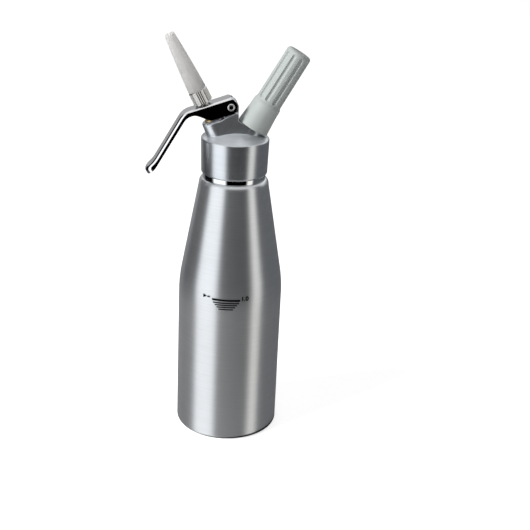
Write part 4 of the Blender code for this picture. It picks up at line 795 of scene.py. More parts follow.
def drilled(obj, radius, low, high, matrix, sides=SMALL_SIDES):
    """A working object with a round hole between two heights of a place."""
    drill = lathe([(0, low), (radius, low), (radius, high), (0, high)], sides)
    return carve(obj, 'DIFFERENCE', drill, matrix)


def finish(name, mesh, mat, body, slot, *nodes, smooth=SMOOTH_ANGLE):
    """A finished piece: smooth where its faces meet at a low angle, riding on its body."""
    mesh.name = name
    mesh.shade_smooth()
    mesh.set_sharp_from_angle(angle=smooth)
    mesh.materials.clear()
    mesh.materials.append(mat)
    obj = linked(name, mesh)
    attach(obj, body)
    if nodes:
        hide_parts(*nodes)
    return obj


def finish_bm(name, bm, matrix, mat, body, slot, *nodes):
    """A finished piece straight from a mesh in the making."""
    return finish(name, evaluated(body_of(name, bm, matrix)), mat, body, slot, *nodes)


def along(name):
    """Where a joint is, with local Z on its axis and local Y across the lever."""
    up = Vector(joint(name)["axis"]).normalized()
    side = Vector((0, 1, 0))
    matrix = Matrix((side.cross(up), side, up)).transposed().to_4x4()
    matrix.translation = joint(name)["pos_m"]
    return matrix


def at_pivot(lever):
    """The lever's pivot, with local XY parallel to its plate."""
    return Matrix.Translation(joint("lever_squeeze")["pos_m"]) @ Matrix.Rotation(-lever.slope, 4, 'Y')


def aside(matrix, x, z):
    """World X and Z of a place in the XZ plane of an axis."""
    point = matrix @ Vector((x, 0, z))
    return point.x, point.z


# Geometry Nodes

def tree_of(name, sizes, counts=()):
    """A Geometry Nodes tree with named counts, sizes and a material, and a table of their sockets."""
    tree = bpy.data.node_groups.new(name, 'GeometryNodeTree')
    kinds = dict.fromkeys(counts, 'NodeSocketInt')
    kinds.update(dict.fromkeys(sizes, 'NodeSocketFloat'))
    kinds["Material"] = 'NodeSocketMaterial'
    for label, kind in kinds.items():
        tree.interface.new_socket(label, in_out='INPUT', socket_type=kind)
    tree.interface.new_socket("Geometry", in_out='OUTPUT', socket_type='NodeSocketGeometry')
    nodes = Nodes(tree)
    start = nodes.add('NodeGroupInput')
    return tree, nodes, {label: start.out(label) for label in kinds}


def end_tree(nodes, shape, mat):
    """Ends a tree in plain, smooth, painted geometry."""
    plain = nodes.add('GeometryNodeRealizeInstances', None, {'Geometry': shape})
    smooth = nodes.add('GeometryNodeSetShadeSmooth', None, {'Geometry': plain})
    painted = nodes.add('GeometryNodeSetMaterial', None, {'Geometry': smooth, 'Material': mat})
    nodes.add('NodeGroupOutput', None, {'Geometry': painted})


def grow(tree, values, matrix=UNTURNED):
    """The plain mesh that a tree makes of some values, with its place baked in."""
    obj = linked(tree.name, bpy.data.meshes.new(tree.name))
    step = obj.modifiers.new(tree.name, 'NODES')
    step.node_group = tree
    for item in tree.interface.items_tree:
        if item.in_out == 'INPUT':
            step[item.identifier] = values[item.name]
    mesh = evaluated(obj)
    mesh.transform(matrix)
    return mesh


def wound_tree():
    """Tree of a wire wound round Z, close at its ends and open between them: a spring or a thread's ridge."""
    sizes = ("Radius", "Wire", "Low", "Curls", "Pitch", "End Curls", "End Pitch", "Run Out")
    tree, nodes, given = tree_of("wound_wire", sizes)
    total = given["Curls"] + 2 * given["End Curls"]
    spiral = nodes.add('GeometryNodeCurveSpiral', None,
                       {'Resolution': 72, 'Rotations': total, 'Start Radius': given["Radius"],
                        'End Radius': given["Radius"], 'Height': 0.0, 'Reverse': True})
    turn = nodes.add('GeometryNodeSplineParameter').out('Factor') * total
    opened = nodes.between(turn - given["End Curls"], 0, given["Curls"])
    height = given["Low"] + (turn - opened) * given["End Pitch"] + opened * given["Pitch"]
    wound = nodes.add('GeometryNodeSetPosition', None,
                      {'Geometry': spiral, 'Offset': nodes.combine(0, 0, height)})
    ends = nodes.least(turn / given["Run Out"], (total - turn) / given["Run Out"])
    ring = nodes.add('GeometryNodeCurvePrimitiveCircle', None, {'Resolution': 12, 'Radius': given["Wire"]})
    wire = nodes.add('GeometryNodeCurveToMesh', None,
                     {'Curve': wound, 'Profile Curve': ring, 'Scale': nodes.between(ends, 0.05, 1),
                      'Fill Caps': True})
    end_tree(nodes, wire, given["Material"])
    return tree


def wind(mat, matrix, radius, wire, low, pitch, curls, end_curls=0.0, end_pitch=0.0, run_out=0.001):
    """A wire of the wound tree, with its place baked in."""
    tree = bpy.data.node_groups.get("wound_wire") or wound_tree()
    values = {"Radius": radius, "Wire": wire, "Low": low, "Curls": curls, "Pitch": pitch,
              "End Curls": end_curls, "End Pitch": end_pitch, "Run Out": run_out, "Material": mat}
    return grow(tree, values, matrix)


def thread(mat, matrix, radius, depth, low, pitch, turns):
    """The ridge of a thread, which runs out at both ends."""
    return wind(mat, matrix, radius, depth, low, pitch, turns, run_out=RUN_OUT)


def knurl_tree():
    """Tree of round ridges that stand in a circle about Z, pointed at both ends."""
    tree, nodes, given = tree_of("knurl", ("Radius", "Ridge", "Low", "High", "Taper"), ("Count",))
    start = nodes.combine(0, 0, given["Low"])
    end = nodes.combine(0, 0, given["High"])
    line = nodes.add('GeometryNodeCurvePrimitiveLine', None, {'Start': start, 'End': end})
    line = nodes.add('GeometryNodeResampleCurve', None, {'Curve': line, 'Count': 21})
    run = nodes.add('GeometryNodeSplineParameter').out('Length')
    ends = nodes.least(run / given["Taper"], (given["High"] - given["Low"] - run) / given["Taper"])
    ring = nodes.add('GeometryNodeCurvePrimitiveCircle', None, {'Resolution': 8, 'Radius': given["Ridge"]})
    ridge = nodes.add('GeometryNodeCurveToMesh', None,
                      {'Curve': line, 'Profile Curve': ring, 'Scale': nodes.between(ends, 0.1, 1),
                       'Fill Caps': True})
    circle = nodes.add('GeometryNodeMeshCircle', None,
                       {'Vertices': given["Count"], 'Radius': given["Radius"]})
    ridges = nodes.add('GeometryNodeInstanceOnPoints', None, {'Points': circle, 'Instance': ridge})
    end_tree(nodes, ridges, given["Material"])
    return tree


def bars_tree():
    """Tree of a filling line and ever shorter bars under it, wrapped round the barrel."""
    sizes = ("Line Width", "Line Thickness", "First Bar", "Bar Width", "Bar Step", "Bar Thickness",
             "Bar Pitch", "Height", "Azimuth", "Radius", "Film")
    tree, nodes, given = tree_of("filling_bars", sizes, ("Bars",))
    row = nodes.add('GeometryNodeMeshLine', None, {'Count': given["Bars"] + 1, 'Offset': (0, 0, 0)})
    index = nodes.add('GeometryNodeInputIndex')
    first = index < 0.5
    width = first * given["Line Width"] + (1 - first) * (given["Bar Width"] - (index - 1) * given["Bar Step"])
    thickness = first * given["Line Thickness"] + (1 - first) * given["Bar Thickness"]
    drop = (1 - first) * (given["First Bar"] + (index - 1) * given["Bar Pitch"])
    placed = nodes.add('GeometryNodeSetPosition', None,
                       {'Geometry': row, 'Offset': nodes.combine(0, 0, given["Height"] - drop)})
    slab = nodes.add('GeometryNodeMeshCube', None,
                     {'Size': (1, 1, 1), 'Vertices X': 33, 'Vertices Y': 2, 'Vertices Z': 2})
    size = nodes.combine(width, given["Film"], thickness)
    bars = nodes.add('GeometryNodeInstanceOnPoints', None,
                     {'Points': placed, 'Instance': slab, 'Scale': size})
    plain = nodes.add('GeometryNodeRealizeInstances', None, {'Geometry': bars})
    place = nodes.add('ShaderNodeSeparateXYZ', None, {0: nodes.add('GeometryNodeInputPosition')})
    angle = place.out('X') / given["Radius"] + given["Azimuth"]
    reach = given["Radius"] - place.out('Y')
    wrapped = nodes.combine(reach * nodes.math('SINE', angle), -1 * reach * nodes.math('COSINE', angle),
                            place.out('Z'))
    wrapped = nodes.add('GeometryNodeSetPosition', None, {'Geometry': plain, 'Position': wrapped})
    end_tree(nodes, wrapped, given["Material"])
    return tree


def joined(mesh, *others):
    """One mesh made of several."""
    bm = bmesh.new()
    for piece in (mesh, *others):
        bm.from_mesh(piece)
    whole = bpy.data.meshes.new(mesh.name)
    bm.to_mesh(whole)
    bm.free()
    return whole


# Bottle

def bottle_wall(bottle, inset):
    """Profile of the barrel's blend and the cone, moved inward by a wall."""
    steps = 12
    slope = math.atan2(bottle.radius - bottle.cone_top, bottle.cone)
    reach = bottle.blend * math.tan(slope / 2)
    size = bottle.blend - inset
    centre = (bottle.radius - bottle.blend, bottle.barrel - reach)
    points = arc(centre, (size, size), 0, slope, slope / steps)
    points.append((bottle.cone_top - inset / math.cos(slope), bottle.barrel + bottle.cone))
    return points


def ring_heights(bottle):
    """Heights of the polished ring's lower and upper edge."""
    low = bottle.barrel + bottle.cone + bottle.shoulder
    return low, low + bottle.ring


def bottle_outside(bottle):
    """Profile of the bottle from under its floor over the rim into the neck."""
    ring_low, ring_high = ring_heights(bottle)
    land = bottle.radius - bottle.foot_round - bottle.foot_land
    lip = bottle.ring_groove
    groove = bottle.ring_radius - lip
    outside = fillet([(0, bottle.foot_recess), (land, bottle.foot_recess, OVERRUN),
                      (land + OVERRUN, 0, OVERRUN / 2), (bottle.radius, 0, bottle.foot_round),
                      (bottle.radius, bottle.barrel / 2)])
    outside += bottle_wall(bottle, 0)[:-1]
    outside += arc((groove, ring_low - bottle.shoulder), (bottle.cone_top - groove, bottle.shoulder),
                   0, math.pi / 2)
    outside += fillet([(groove, ring_low), (bottle.ring_radius, ring_low + lip, lip),
                       (bottle.ring_radius, ring_high - lip, lip), (groove, ring_high),
                       (bottle.neck_radius, ring_high, lip),
                       (bottle.neck_radius, bottle.rim, bottle.rim_round),
                       (bottle.neck_bore, bottle.rim, bottle.rim_round), (bottle.neck_bore, ring_low)])
    return outside


def bottle_inside(bottle):
    """Profile of the bottle's inside, from the floor to the top of the cone."""
    wall = bottle.radius - bottle.wall
    inside = fillet([(0, bottle.floor), (wall, bottle.floor, bottle.foot_round - bottle.wall),
                     (wall, bottle.barrel / 2)])
    return inside + bottle_wall(bottle, bottle.wall)


def make_bottle(bottle, mark, colours):
    """The bottle with its beaded ring, rounded rim and neck thread."""
    ring = ring_heights(bottle)
    turn = (bottle.barrel - bottle.finish_below, bottle.barrel + bottle.finish_above)
    # The last argument is the height of the painted shade round the foot.
    mat = brushed("bottle_aluminium", (colours.barrel, colours.cone),
                  (colours.barrel_metal, colours.cone_metal), turn, ring, bottle.painted_foot_shade)
    under_print = bottle.radius - mark.film
    profile = [(min(radius, under_print), height) for radius, height in bottle_outside(bottle)]
    profile += reversed(bottle_inside(bottle))
    shell = evaluated(body_of("bottle", lathe(profile, BOTTLE_SIDES)))
    bury = bottle.thread_depth / 10
    ridge = thread(mat, UNTURNED, bottle.neck_radius - bury, bottle.thread_depth + bury,
                   ring[1] + bottle.thread_rise, bottle.thread_pitch, bottle.thread_turns)
    finish("bottle_shell", joined(shell, ridge), mat, "bottle", "bottle_aluminium", "bottle")


def wrapped_print(name, flat, mark, azimuth, height, radius, film):
    """A flat print in local XY, wrapped round the barrel at an azimuth and a height."""
    bmesh.ops.triangulate(flat, faces=flat.faces)
    long_edges = [edge for edge in flat.edges if edge.calc_length() > mark.facet]
    bmesh.ops.subdivide_edges(flat, edges=long_edges, cuts=3)
    for vert in flat.verts:
        angle = azimuth + vert.co.x / radius
        reach = radius + (film / 2 if vert.co.z > 0 else -film / 2)
        vert.co = (reach * math.sin(angle), -reach * math.cos(angle), height + vert.co.y)
    bmesh.ops.recalc_face_normals(flat, faces=flat.faces)
    return evaluated(body_of(name, flat))


def pointer_shape(mark, near, far, film):
    """The pointer and the dash beside it, flat in local XY."""
    rise = mark.pointer / 2
    thin = mark.bar_thickness / 2
    arrow = ((0, -rise), (mark.pointer, 0), (0, rise))
    dash = ((near, -thin), (far, -thin), (far, thin), (near, thin))
    bm = bmesh.new()
    for outline in (arrow, dash):
        faces = [[bm.verts.new((x, y, z)) for x, y in outline] for z in (-film, film)]
        sheet_of(bm, faces, True)
        for face in faces:
            bm.faces.new(face)
    return bm


def number_shape(mark, film):
    """The plain number of litres, flat in local XY."""
    digit_share = 0.72
    words = bpy.data.curves.new("number", 'FONT')
    words.body = "1.0"
    words.size = mark.number_height / digit_share
    words.extrude = film
    words.offset = mark.stroke
    words.resolution_u = 6
    flat = bmesh.new()
    flat.from_mesh(evaluated(linked("number", words)))
    bmesh.ops.remove_doubles(flat, verts=flat.verts, dist=TOUCH)
    return flat


def make_mark(bottle, mark, colours):
    """The printed filling line with its bars, a pointer and a plain number."""
    mat = moulded("print_ink", colours.ink, 0.6, gloss=0.08)
    radius = bottle.radius - mark.film
    film_share = 1.8
    film = film_share * mark.film
    bars = grow(bars_tree(), {"Bars": mark.bar_count, "Line Width": mark.line_width,
                              "Line Thickness": mark.line_thickness, "First Bar": mark.first_bar,
                              "Bar Width": mark.bar_width, "Bar Step": mark.bar_step,
                              "Bar Thickness": mark.bar_thickness, "Bar Pitch": mark.bar_pitch,
                              "Height": mark.height, "Azimuth": mark.azimuth, "Radius": radius,
                              "Film": film, "Material": mat})
    half = mark.line_width / 2
    middle = mark.height + mark.line_thickness
    near = mark.pointer + mark.dash_gap
    far = near + mark.dash
    left = mark.azimuth - (half + mark.pointer_gap + far) / radius
    pointer = pointer_shape(mark, near, far, film)
    pointer = wrapped_print("pointer", pointer, mark, left, middle, radius, film)
    right = mark.azimuth + (half + mark.number_gap) / radius
    low = middle - mark.number_height / 2
    number = wrapped_print("number", number_shape(mark, film), mark, right, low, radius, film)
    finish("filling_mark", joined(bars, pointer, number), mat, "bottle", None)


# Head

def block_outline(head, nozzle_axis, charger_axis):
    """Outline of the web that joins the two bosses, with the lever's ear on top."""
    pivot = joint("lever_squeeze")["pos_m"]
    ear = (pivot[0] + head.ear_ahead, pivot[2] - head.ear_drop)
    mouth = aside(charger_axis, 0, -head.holder_gap)
    shoulder = aside(charger_axis, -head.shoulder_reach, -head.holder_gap)
    side = (ear[0] + head.ear_radius, shoulder[1] + head.shoulder_rise)
    rim = -head.boss_drop - 2 * head.boss_lip
    foot = head.foot + head.skirt
    outline = [mouth, shoulder, side]
    outline += arc(ear, (head.ear_radius, head.ear_radius), 0, math.pi)
    outline += [aside(nozzle_axis, head.boss_top, rim), aside(nozzle_axis, 0, rim),
                at_height(aside(nozzle_axis, 0, rim), aside(nozzle_axis, 0, 2 * rim), foot),
                at_height(mouth, aside(charger_axis, 0, rim), foot)]
    return outline


def at_height(point, other, z):
    """Where the line through two points crosses a height."""
    part = (z - point[1]) / (other[1] - point[1])
    return point[0] + (other[0] - point[0]) * part, z


def ledge_outline(head, lever):
    """Outline of the milling beside the ear: a ledge parallel to the squeezed lever, rounded at its end."""
    squeezed = at_pivot(lever) @ Matrix.Rotation(-lever.travel, 4, 'Y')
    low = -lever.cheek_drop - head.ledge_clearance
    side_x = squeezed.translation.x + head.ear_ahead + head.ear_radius
    left = aside(squeezed, -lever.bend_start, low)
    right = aside(squeezed, 0, low)
    part = (side_x - left[0]) / (right[0] - left[0])
    corner = (side_x, left[1] + (right[1] - left[1]) * part)
    bend = fillet([left, (*corner, head.corner_round), (side_x, corner[1] - head.ear_radius)])[1:-1]
    reach = head.ear_radius + head.corner_round
    return [left] + bend + [(side_x + OVERRUN, bend[-1][1]), aside(squeezed, reach, lever.plate),
                            aside(squeezed, -lever.bend_start, lever.plate)]


def dome_profile(head, sunk):
    """Profile of the dome from its middle to its edge, sunk by a little."""
    steps = 24
    edge = head.top_radius - head.top_round
    foot = head.foot + head.skirt + head.top_round
    return [(edge * i / steps, foot + head.dome * (1 - (i / steps) ** 2) - sunk) for i in range(steps)]


def cap_profile(head):
    """Closed profile of the cap: dome, skirt and the recess inside."""
    edge = head.top_radius - head.top_round
    top = head.foot + head.skirt
    slope = math.atan2(2 * head.dome, edge)
    outer = dome_profile(head, 0)
    outer += list(reversed(arc((edge, top), (head.top_round, head.top_round), 0, math.pi / 2 - slope)))
    outer += fillet([(head.top_radius, top), (head.foot_radius, head.foot, head.foot_round),
                     (head.root, head.foot, head.foot_round), (head.root, head.seat),
                     (head.ceiling_radius, head.seat, FIT), (head.ceiling_radius, head.ceiling),
                     (0, head.ceiling)])
    return outer


def boss_flank(head):
    """A wedge on both sides of the web that leads its faces tangent to the nozzle boss."""
    half = head.block / 2
    bm = bmesh.new()
    rows = []
    lip = -head.boss_drop - 2 * head.boss_lip
    slope = (head.boss_foot - head.boss_top) / head.boss_taper
    for height in (-head.boss_drop - head.boss_depth, -head.boss_drop - head.boss_taper, lip):
        radius = min(head.boss_foot, head.boss_top - slope * (height + head.boss_drop)) - FIT / 10
        rows.append([bm.verts.new((x, y, height)) for x, y in
                     ((0, -radius), (head.flank, FIT / 2 - half), (head.flank, half - FIT / 2), (0, radius))])
    return skin_of(bm, rows, (rows[0], rows[-1]))


def valve_bore(valve):
    """Profile of the cream valve's bore, down to the ceiling."""
    room = valve.gland + FIT
    sleeve = valve.gland_sleeve + FIT
    head_foot = valve.gland_top - valve.gland_head - FIT
    sleeve_foot = valve.gland_top - valve.gland_length - FIT
    low = 2 * valve.seat
    return [(0, low), (valve.pocket, low), (valve.pocket, valve.seat), (valve.seat_bore, valve.seat),
            (valve.seat_bore, sleeve_foot), (sleeve, sleeve_foot), (sleeve, head_foot), (room, head_foot),
            (room, valve.gland_top + FIT), (0, valve.gland_top + FIT)]


def gas_bore(head):
    """Profile of the gas valve's bore, with the passage under it."""
    top = head.stub + OVERRUN
    low = -2 * head.valve_depth
    return [(0, low), (head.gas_passage, low), (head.gas_passage, -head.valve_depth),
            (head.stub_bore, -head.valve_depth), (head.stub_bore, top), (0, top)]


def boss_profile(head):
    """Profile of the nozzle boss."""
    top = -head.boss_drop
    foot = top - head.boss_depth
    return fillet([(0, foot), (head.boss_foot, foot), (head.boss_foot, top - head.boss_taper),
                   (head.boss_top, top, head.boss_lip), (0, top)])


def post_profile(head):
    """Profile of the charger boss with the stub on it."""
    seat = -head.holder_gap
    chamfer = head.stub_chamfer
    return [(0, -head.charger_depth), (head.charger_boss, -head.charger_depth), (head.charger_boss, seat),
            (head.stub_radius, seat), (head.stub_radius, head.stub - chamfer),
            (head.stub_radius - chamfer, head.stub), (0, head.stub)]


def make_cap(head, bores, colours):
    """The turned cap with the thread in its skirt."""
    cap = body_of("head_cap", lathe(cap_profile(head), HEAD_SIDES))
    for profile, axis in bores:
        cap = carve(cap, 'DIFFERENCE', lathe(profile, SMALL_SIDES), axis)
    top = head.foot + head.skirt
    satin = brushed("head_aluminium", (colours.head, colours.head), (colours.cap_metal, colours.dome_metal),
                    (top + head.finish_start, top + head.finish_end))
    ridge = thread(satin, UNTURNED, head.root + FIT, head.thread_depth, head.foot + head.thread_rise,
                   head.thread_pitch, head.thread_turns)
    finish("head_cap", joined(evaluated(cap), ridge), satin, "head", "head_aluminium", "head")


def block_body(head, lever, nozzle_axis, charger_axis):
    """The block before its bores: web, bosses, millings beside the ear, and the dome that it blends into."""
    half = head.block / 2
    block = body_of("head_block", prism(block_outline(head, nozzle_axis, charger_axis), half))
    block = carve(block, 'UNION', lathe(boss_profile(head), HEAD_SIDES), nozzle_axis)
    block = carve(block, 'UNION', boss_flank(head), nozzle_axis)
    block = carve(block, 'UNION', lathe(post_profile(head), HEAD_SIDES), charger_axis)
    for side in (-1, 1):
        shift = Matrix.Translation((0, side * (head.ear / 2 + half), 0))
        block = carve(block, 'DIFFERENCE', prism(ledge_outline(head, lever), half), shift)
    lump = dome_profile(head, head.dome_sink)
    inside = head.ceiling + OVERRUN
    lump += [(lump[-1][0], inside), (0, inside)]
    return carve(block, 'UNION', lathe(lump, HEAD_SIDES))


def softened(block, head):
    """Blends a working object's edges by small cells, and smooths them."""
    cells = block.modifiers.new("cells", 'REMESH')
    cells.mode = 'VOXEL'
    cells.voxel_size = head.voxel
    soft = block.modifiers.new("soft", 'SMOOTH')
    soft.factor = 0.5
    soft.iterations = 6
    return evaluated(block)


def make_block(head, lever, bores, colours):
    """The block on the cap, with its bores, its soft edges and the stub's thread."""
    nozzle_axis = along("adapter_turn")
    charger_axis = along("holder_turn")
    block = block_body(head, lever, nozzle_axis, charger_axis)
    for profile, axis in bores:
        block = carve(block, 'DIFFERENCE', lathe(profile, SMALL_SIDES), axis)
    half = head.block / 2
    block = drilled(block, lever.rivet + FIT, -half, half, at_pivot(lever) @ ACROSS)
    satin = tumbled("block_aluminium", colours.head)
    ridge = thread(satin, charger_axis, head.stub_radius - BURY, head.stub_depth + BURY, head.stub_rise,
                   head.stub_pitch, head.stub_turns)
    finish("head_block", joined(softened(block, head), ridge), satin, "head", "head_aluminium", "head",
           smooth=math.pi)


def make_head(head, lever, valve, colours):
    """The cap, turned, and the block on it, blended from its bosses, web, ear and millings."""
    bores = [(valve_bore(valve), along("adapter_turn")), (gas_bore(head), along("holder_turn"))]
    make_cap(head, bores, colours)
    make_block(head, lever, bores, colours)


# Lever

def eased(first, second, part):
    """A value between two others, with a smooth start and end."""
    part = min(max(part, 0), 1)
    return first + (second - first) * (part * part * (3 - 2 * part))


def lever_marks(lever):
    """Distances along the lever's outer face: where its bend, handle and flick start, and its end."""
    bend = lever.start + lever.bend_start
    handle = bend + lever.bend_radius * lever.bend_angle
    flick = handle + lever.handle
    return bend, handle, flick, flick + lever.flick_radius * lever.flick_angle


def lever_point(lever, distance, side, rise):
    """A place on the lever: a distance along its outer face, aside from its middle and above the face."""
    bend, handle, flick, _ = lever_marks(lever)
    if distance <= bend:
        return Vector((lever.start - distance, side, lever.plate + rise))
    slope = min((distance - bend) / lever.bend_radius, lever.bend_angle)
    run = min(max(distance - handle, 0), lever.handle)
    x = -lever.bend_start - lever.bend_radius * math.sin(slope) - run * math.cos(slope)
    z = lever.plate - lever.bend_radius * (1 - math.cos(slope)) - run * math.sin(slope)
    if distance > flick:
        lifted = slope - (distance - flick) / lever.flick_radius
        x += lever.flick_radius * (math.sin(lifted) - math.sin(slope))
        z += lever.flick_radius * (math.cos(slope) - math.cos(lifted))
        slope = lifted
    return Vector((x - rise * math.sin(slope), side, z + rise * math.cos(slope)))


def lever_depth(lever, distance):
    """Depth of the cheeks and flanges below the outer face."""
    _, handle, flick, end = lever_marks(lever)
    ahead = lever.start - distance + lever.cheek_end_back
    if ahead > 0:
        return lever.plate + lever.cheek_drop * math.sqrt(max(0, 1 - (ahead / lever.cheek_drop) ** 2))
    curve = lever.start + lever.cheek_straight
    if distance < curve + lever.cheek_curve:
        full = lever.plate + lever.cheek_drop
        return eased(full, lever.bend_depth, (distance - curve) / lever.cheek_curve)
    if distance < flick:
        return eased(lever.bend_depth, lever.handle_depth, (distance - handle) / lever.flare)
    return eased(lever.handle_depth, lever.tip_depth, (distance - flick) / (end - flick))


def cheek_top(lever, distance):
    """How far below the outer face the cheeks' rounded end lies, zero behind the plate's front edge."""
    ahead = max(lever.start - distance + lever.cheek_end_back, 0)
    rise = lever.cheek_end_rise * math.sqrt(max(0, 1 - (ahead / lever.cheek_drop) ** 2))
    return max(0, lever.plate - rise)


def skin_column(lever, place, drops, rounds):
    """How far in and down the skin lies at a place along the lever, from its lower edge to the plate."""
    bend, handle, _, _ = lever_marks(lever)
    depth = lever_depth(lever, place)
    top = cheek_top(lever, place)
    size = eased(lever.edge_round, lever.handle_round, (place - bend) / (handle - bend))
    low = max(size, top)
    column = [(0.0, low + (depth - low) * drop) for drop in drops]
    for turn in rounds:
        fall = size * (1 - math.sin(turn))
        if fall < top:
            fall = top
            turn = math.asin(max(0.0, 1 - min(top, size) / size))
        column.append((size * (1 - math.cos(turn)), fall))
    return column


def skin_rows(lever, nose_steps):
    """Places of the skin's points, as distance, reach to the side and rise, in rows across the lever."""
    run_steps = 110
    tip_steps = 20
    drop_steps = 10
    round_steps = 6
    end = lever_marks(lever)[-1]
    nose = lever.start - lever.cheek_drop + lever.cheek_end_back
    ratio = lever.plate / lever.cheek_end_rise
    front = nose + lever.cheek_drop * (1 - math.sqrt(1 - ratio * ratio))
    tip = end - lever.tip
    quarter = math.pi / 2
    stops = [nose + (front - nose) * (1 - math.cos(quarter * i / nose_steps)) for i in range(nose_steps)]
    stops += [front + (tip - front) * i / run_steps for i in range(run_steps)]
    places = [(stop, 0.0) for stop in stops]
    places += [(tip, quarter * i / tip_steps) for i in range(tip_steps + 1)]
    drops = [1 - i / drop_steps for i in range(drop_steps)]
    rounds = [quarter * i / round_steps for i in range(round_steps + 1)]
    half = lever.width / 2
    rows = []
    for stop, angle in places:
        column = skin_column(lever, stop + lever.tip * math.sin(angle), drops, rounds)
        rows.append([(stop + (lever.tip - inset) * math.sin(angle), (half - inset) * math.cos(angle), -fall)
                     for inset, fall in column])
    return rows


def lever_skin(lever):
    """The lever's outer face as one open sheet, from the cheeks' rounded ends to the closed tip."""
    nose_steps = 10
    plate_steps = 12
    rows = skin_rows(lever, nose_steps)
    bm = bmesh.new()
    grids = []
    for side in (-1, 1):
        grid = [[bm.verts.new(lever_point(lever, distance, side * reach, rise))
                 for distance, reach, rise in row] for row in rows]
        sheet_of(bm, grid)
        grids.append(grid)
    plate = []
    for near, far in list(zip(*grids))[nose_steps:]:
        left = near[-1]
        right = far[-1]
        between = [bm.verts.new(left.co.lerp(right.co, i / plate_steps)) for i in range(1, plate_steps)]
        plate.append([left] + between + [right])
    sheet_of(bm, plate)
    bmesh.ops.remove_doubles(bm, verts=bm.verts, dist=10 * TOUCH)
    bmesh.ops.dissolve_degenerate(bm, edges=bm.edges, dist=5 * TOUCH)
    bmesh.ops.recalc_face_normals(bm, faces=bm.faces)
    top = lever_point(lever, lever_marks(lever)[1], 0, 0)
    nearest = min(bm.faces, key=lambda face: (face.calc_center_median() - top).length)
    if nearest.normal.z < 0:
        bmesh.ops.reverse_faces(bm, faces=bm.faces)
    return bm


def plate_hole_place(lever):
    """Where the piston's hole lies along the plate."""
    nozzle_axis = at_pivot(lever).inverted() @ along("adapter_turn")
    seat = nozzle_axis.translation
    up = nozzle_axis.col[2]
    return seat.x + up.x * (lever.plate - seat.z) / up.z + lever.hole_ahead


def make_lever(lever, colours):
    """The pressed lever, a channel with thin cut edges."""
    skin = body_of("lever", lever_skin(lever))
    wall = skin.modifiers.new("wall", 'SOLIDIFY')
    wall.thickness = lever.sheet
    wall.offset = -1
    wall.use_even_offset = True
    channel = linked("lever", evaluated(skin))
    place = Matrix.Translation((plate_hole_place(lever), 0, 0))
    channel = drilled(channel, lever.hole, lever.plate - 2 * lever.sheet, lever.plate + OVERRUN, place)
    channel = drilled(channel, lever.rivet + FIT, -lever.width, lever.width, ACROSS)
    edge = channel.modifiers.new("edge", 'BEVEL')
    edge.width = lever.burr
    edge.segments = 2
    edge.limit_method = 'ANGLE'
    edge.angle_limit = math.radians(50)
    mesh = evaluated(channel)
    mesh.transform(at_pivot(lever))
    mat = plated("lever_chrome", colours.chrome, 0.07)
    finish("lever_channel", mesh, mat, "lever", "lever_chrome", "lever")


def make_rivet(lever, colours):
    """The hollow rivet with a rolled head at each end."""
    inside = lever.width / 2 + FIT
    middle = (lever.rivet_head + lever.rivet_bore) / 2
    reach = lever.rivet_head - middle
    upper = [(lever.rivet, inside)]
    upper += arc((middle, inside), (reach, lever.rivet_rise), 0, math.pi / 2)
    upper += arc((middle, inside + lever.rivet_rise - reach), (reach, reach), math.pi / 2, math.pi)[1:]
    profile = [(radius, -height) for radius, height in reversed(upper)] + upper
    pivot = at_pivot(lever)
    steel = rivet_steel(colours.chrome, pivot.translation, lever.rivet_bore)
    finish_bm("rolled_rivet", lathe(profile, SMALL_SIDES, True), pivot @ ACROSS, steel, "head", "steel",
              "lever_rivet")


# Valve

def make_spring(node, moving, valve, mat, axis, radius, wire, low, high):
    """A compression spring between two heights of its axis."""
    end_pitch = 2 * wire + valve.end_gap
    pitch = (high - low - 2 * wire - 2 * valve.end_curls * end_pitch) / valve.curls
    coil = wind(mat, axis, radius, wire, low + wire, pitch, valve.curls, valve.end_curls, end_pitch)
    spring = finish(f"{node}_wire", coil, mat, "head", "steel", node)
    travel = joint(moving)["range_m"][1]
    1 - travel / (high - low)
    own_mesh(spring)


def make_check_spring(valve, colours):
    """The small spring under the gas valve's poppet, between the heights that its node has on its axis."""
    axis = along("holder_turn")
    corners = frame["nodes"]["check_spring"].data.vertices
    heights = [(axis.inverted() @ corner.co).z for corner in corners]
    make_spring("check_spring", "check_lift", valve, plated("check_spring_steel", colours.steel, 0.2), axis,
                valve.check_spring, valve.check_wire, min(heights), max(heights))


def piston_profile(valve):
    """Profile of the piston: tube, thread, collar, land with its groove, cross port's body and stem."""
    small = valve.edge_round
    root = valve.piston - valve.thread_depth
    groove_top = valve.land_top - valve.land_lip
    groove_foot = groove_top - valve.groove
    land_foot = groove_foot - valve.land_lip
    groove_radius = valve.land - valve.groove_depth
    floor = valve.port_height - valve.port
    return fillet([(0, floor), (valve.piston_bore, floor), (valve.piston_bore, valve.piston_top, small),
                   (root, valve.piston_top, small), (root, 0), (valve.piston, -valve.thread_depth),
                   (valve.piston, valve.collar_top, small), (valve.collar, valve.collar_top, small),
                   (valve.collar, valve.collar_foot, small), (valve.piston, valve.collar_foot, small),
                   (valve.piston, valve.land_top, small), (valve.land, valve.land_top, small),
                   (valve.land, groove_top, small), (groove_radius, groove_top),
                   (groove_radius, groove_foot), (valve.land, groove_foot, small),
                   (valve.land, land_foot, small), (valve.piston, land_foot),
                   (valve.piston, valve.port_foot, small), (valve.stem, valve.port_foot),
                   (valve.stem, valve.stem_foot, small), (0, valve.stem_foot)])


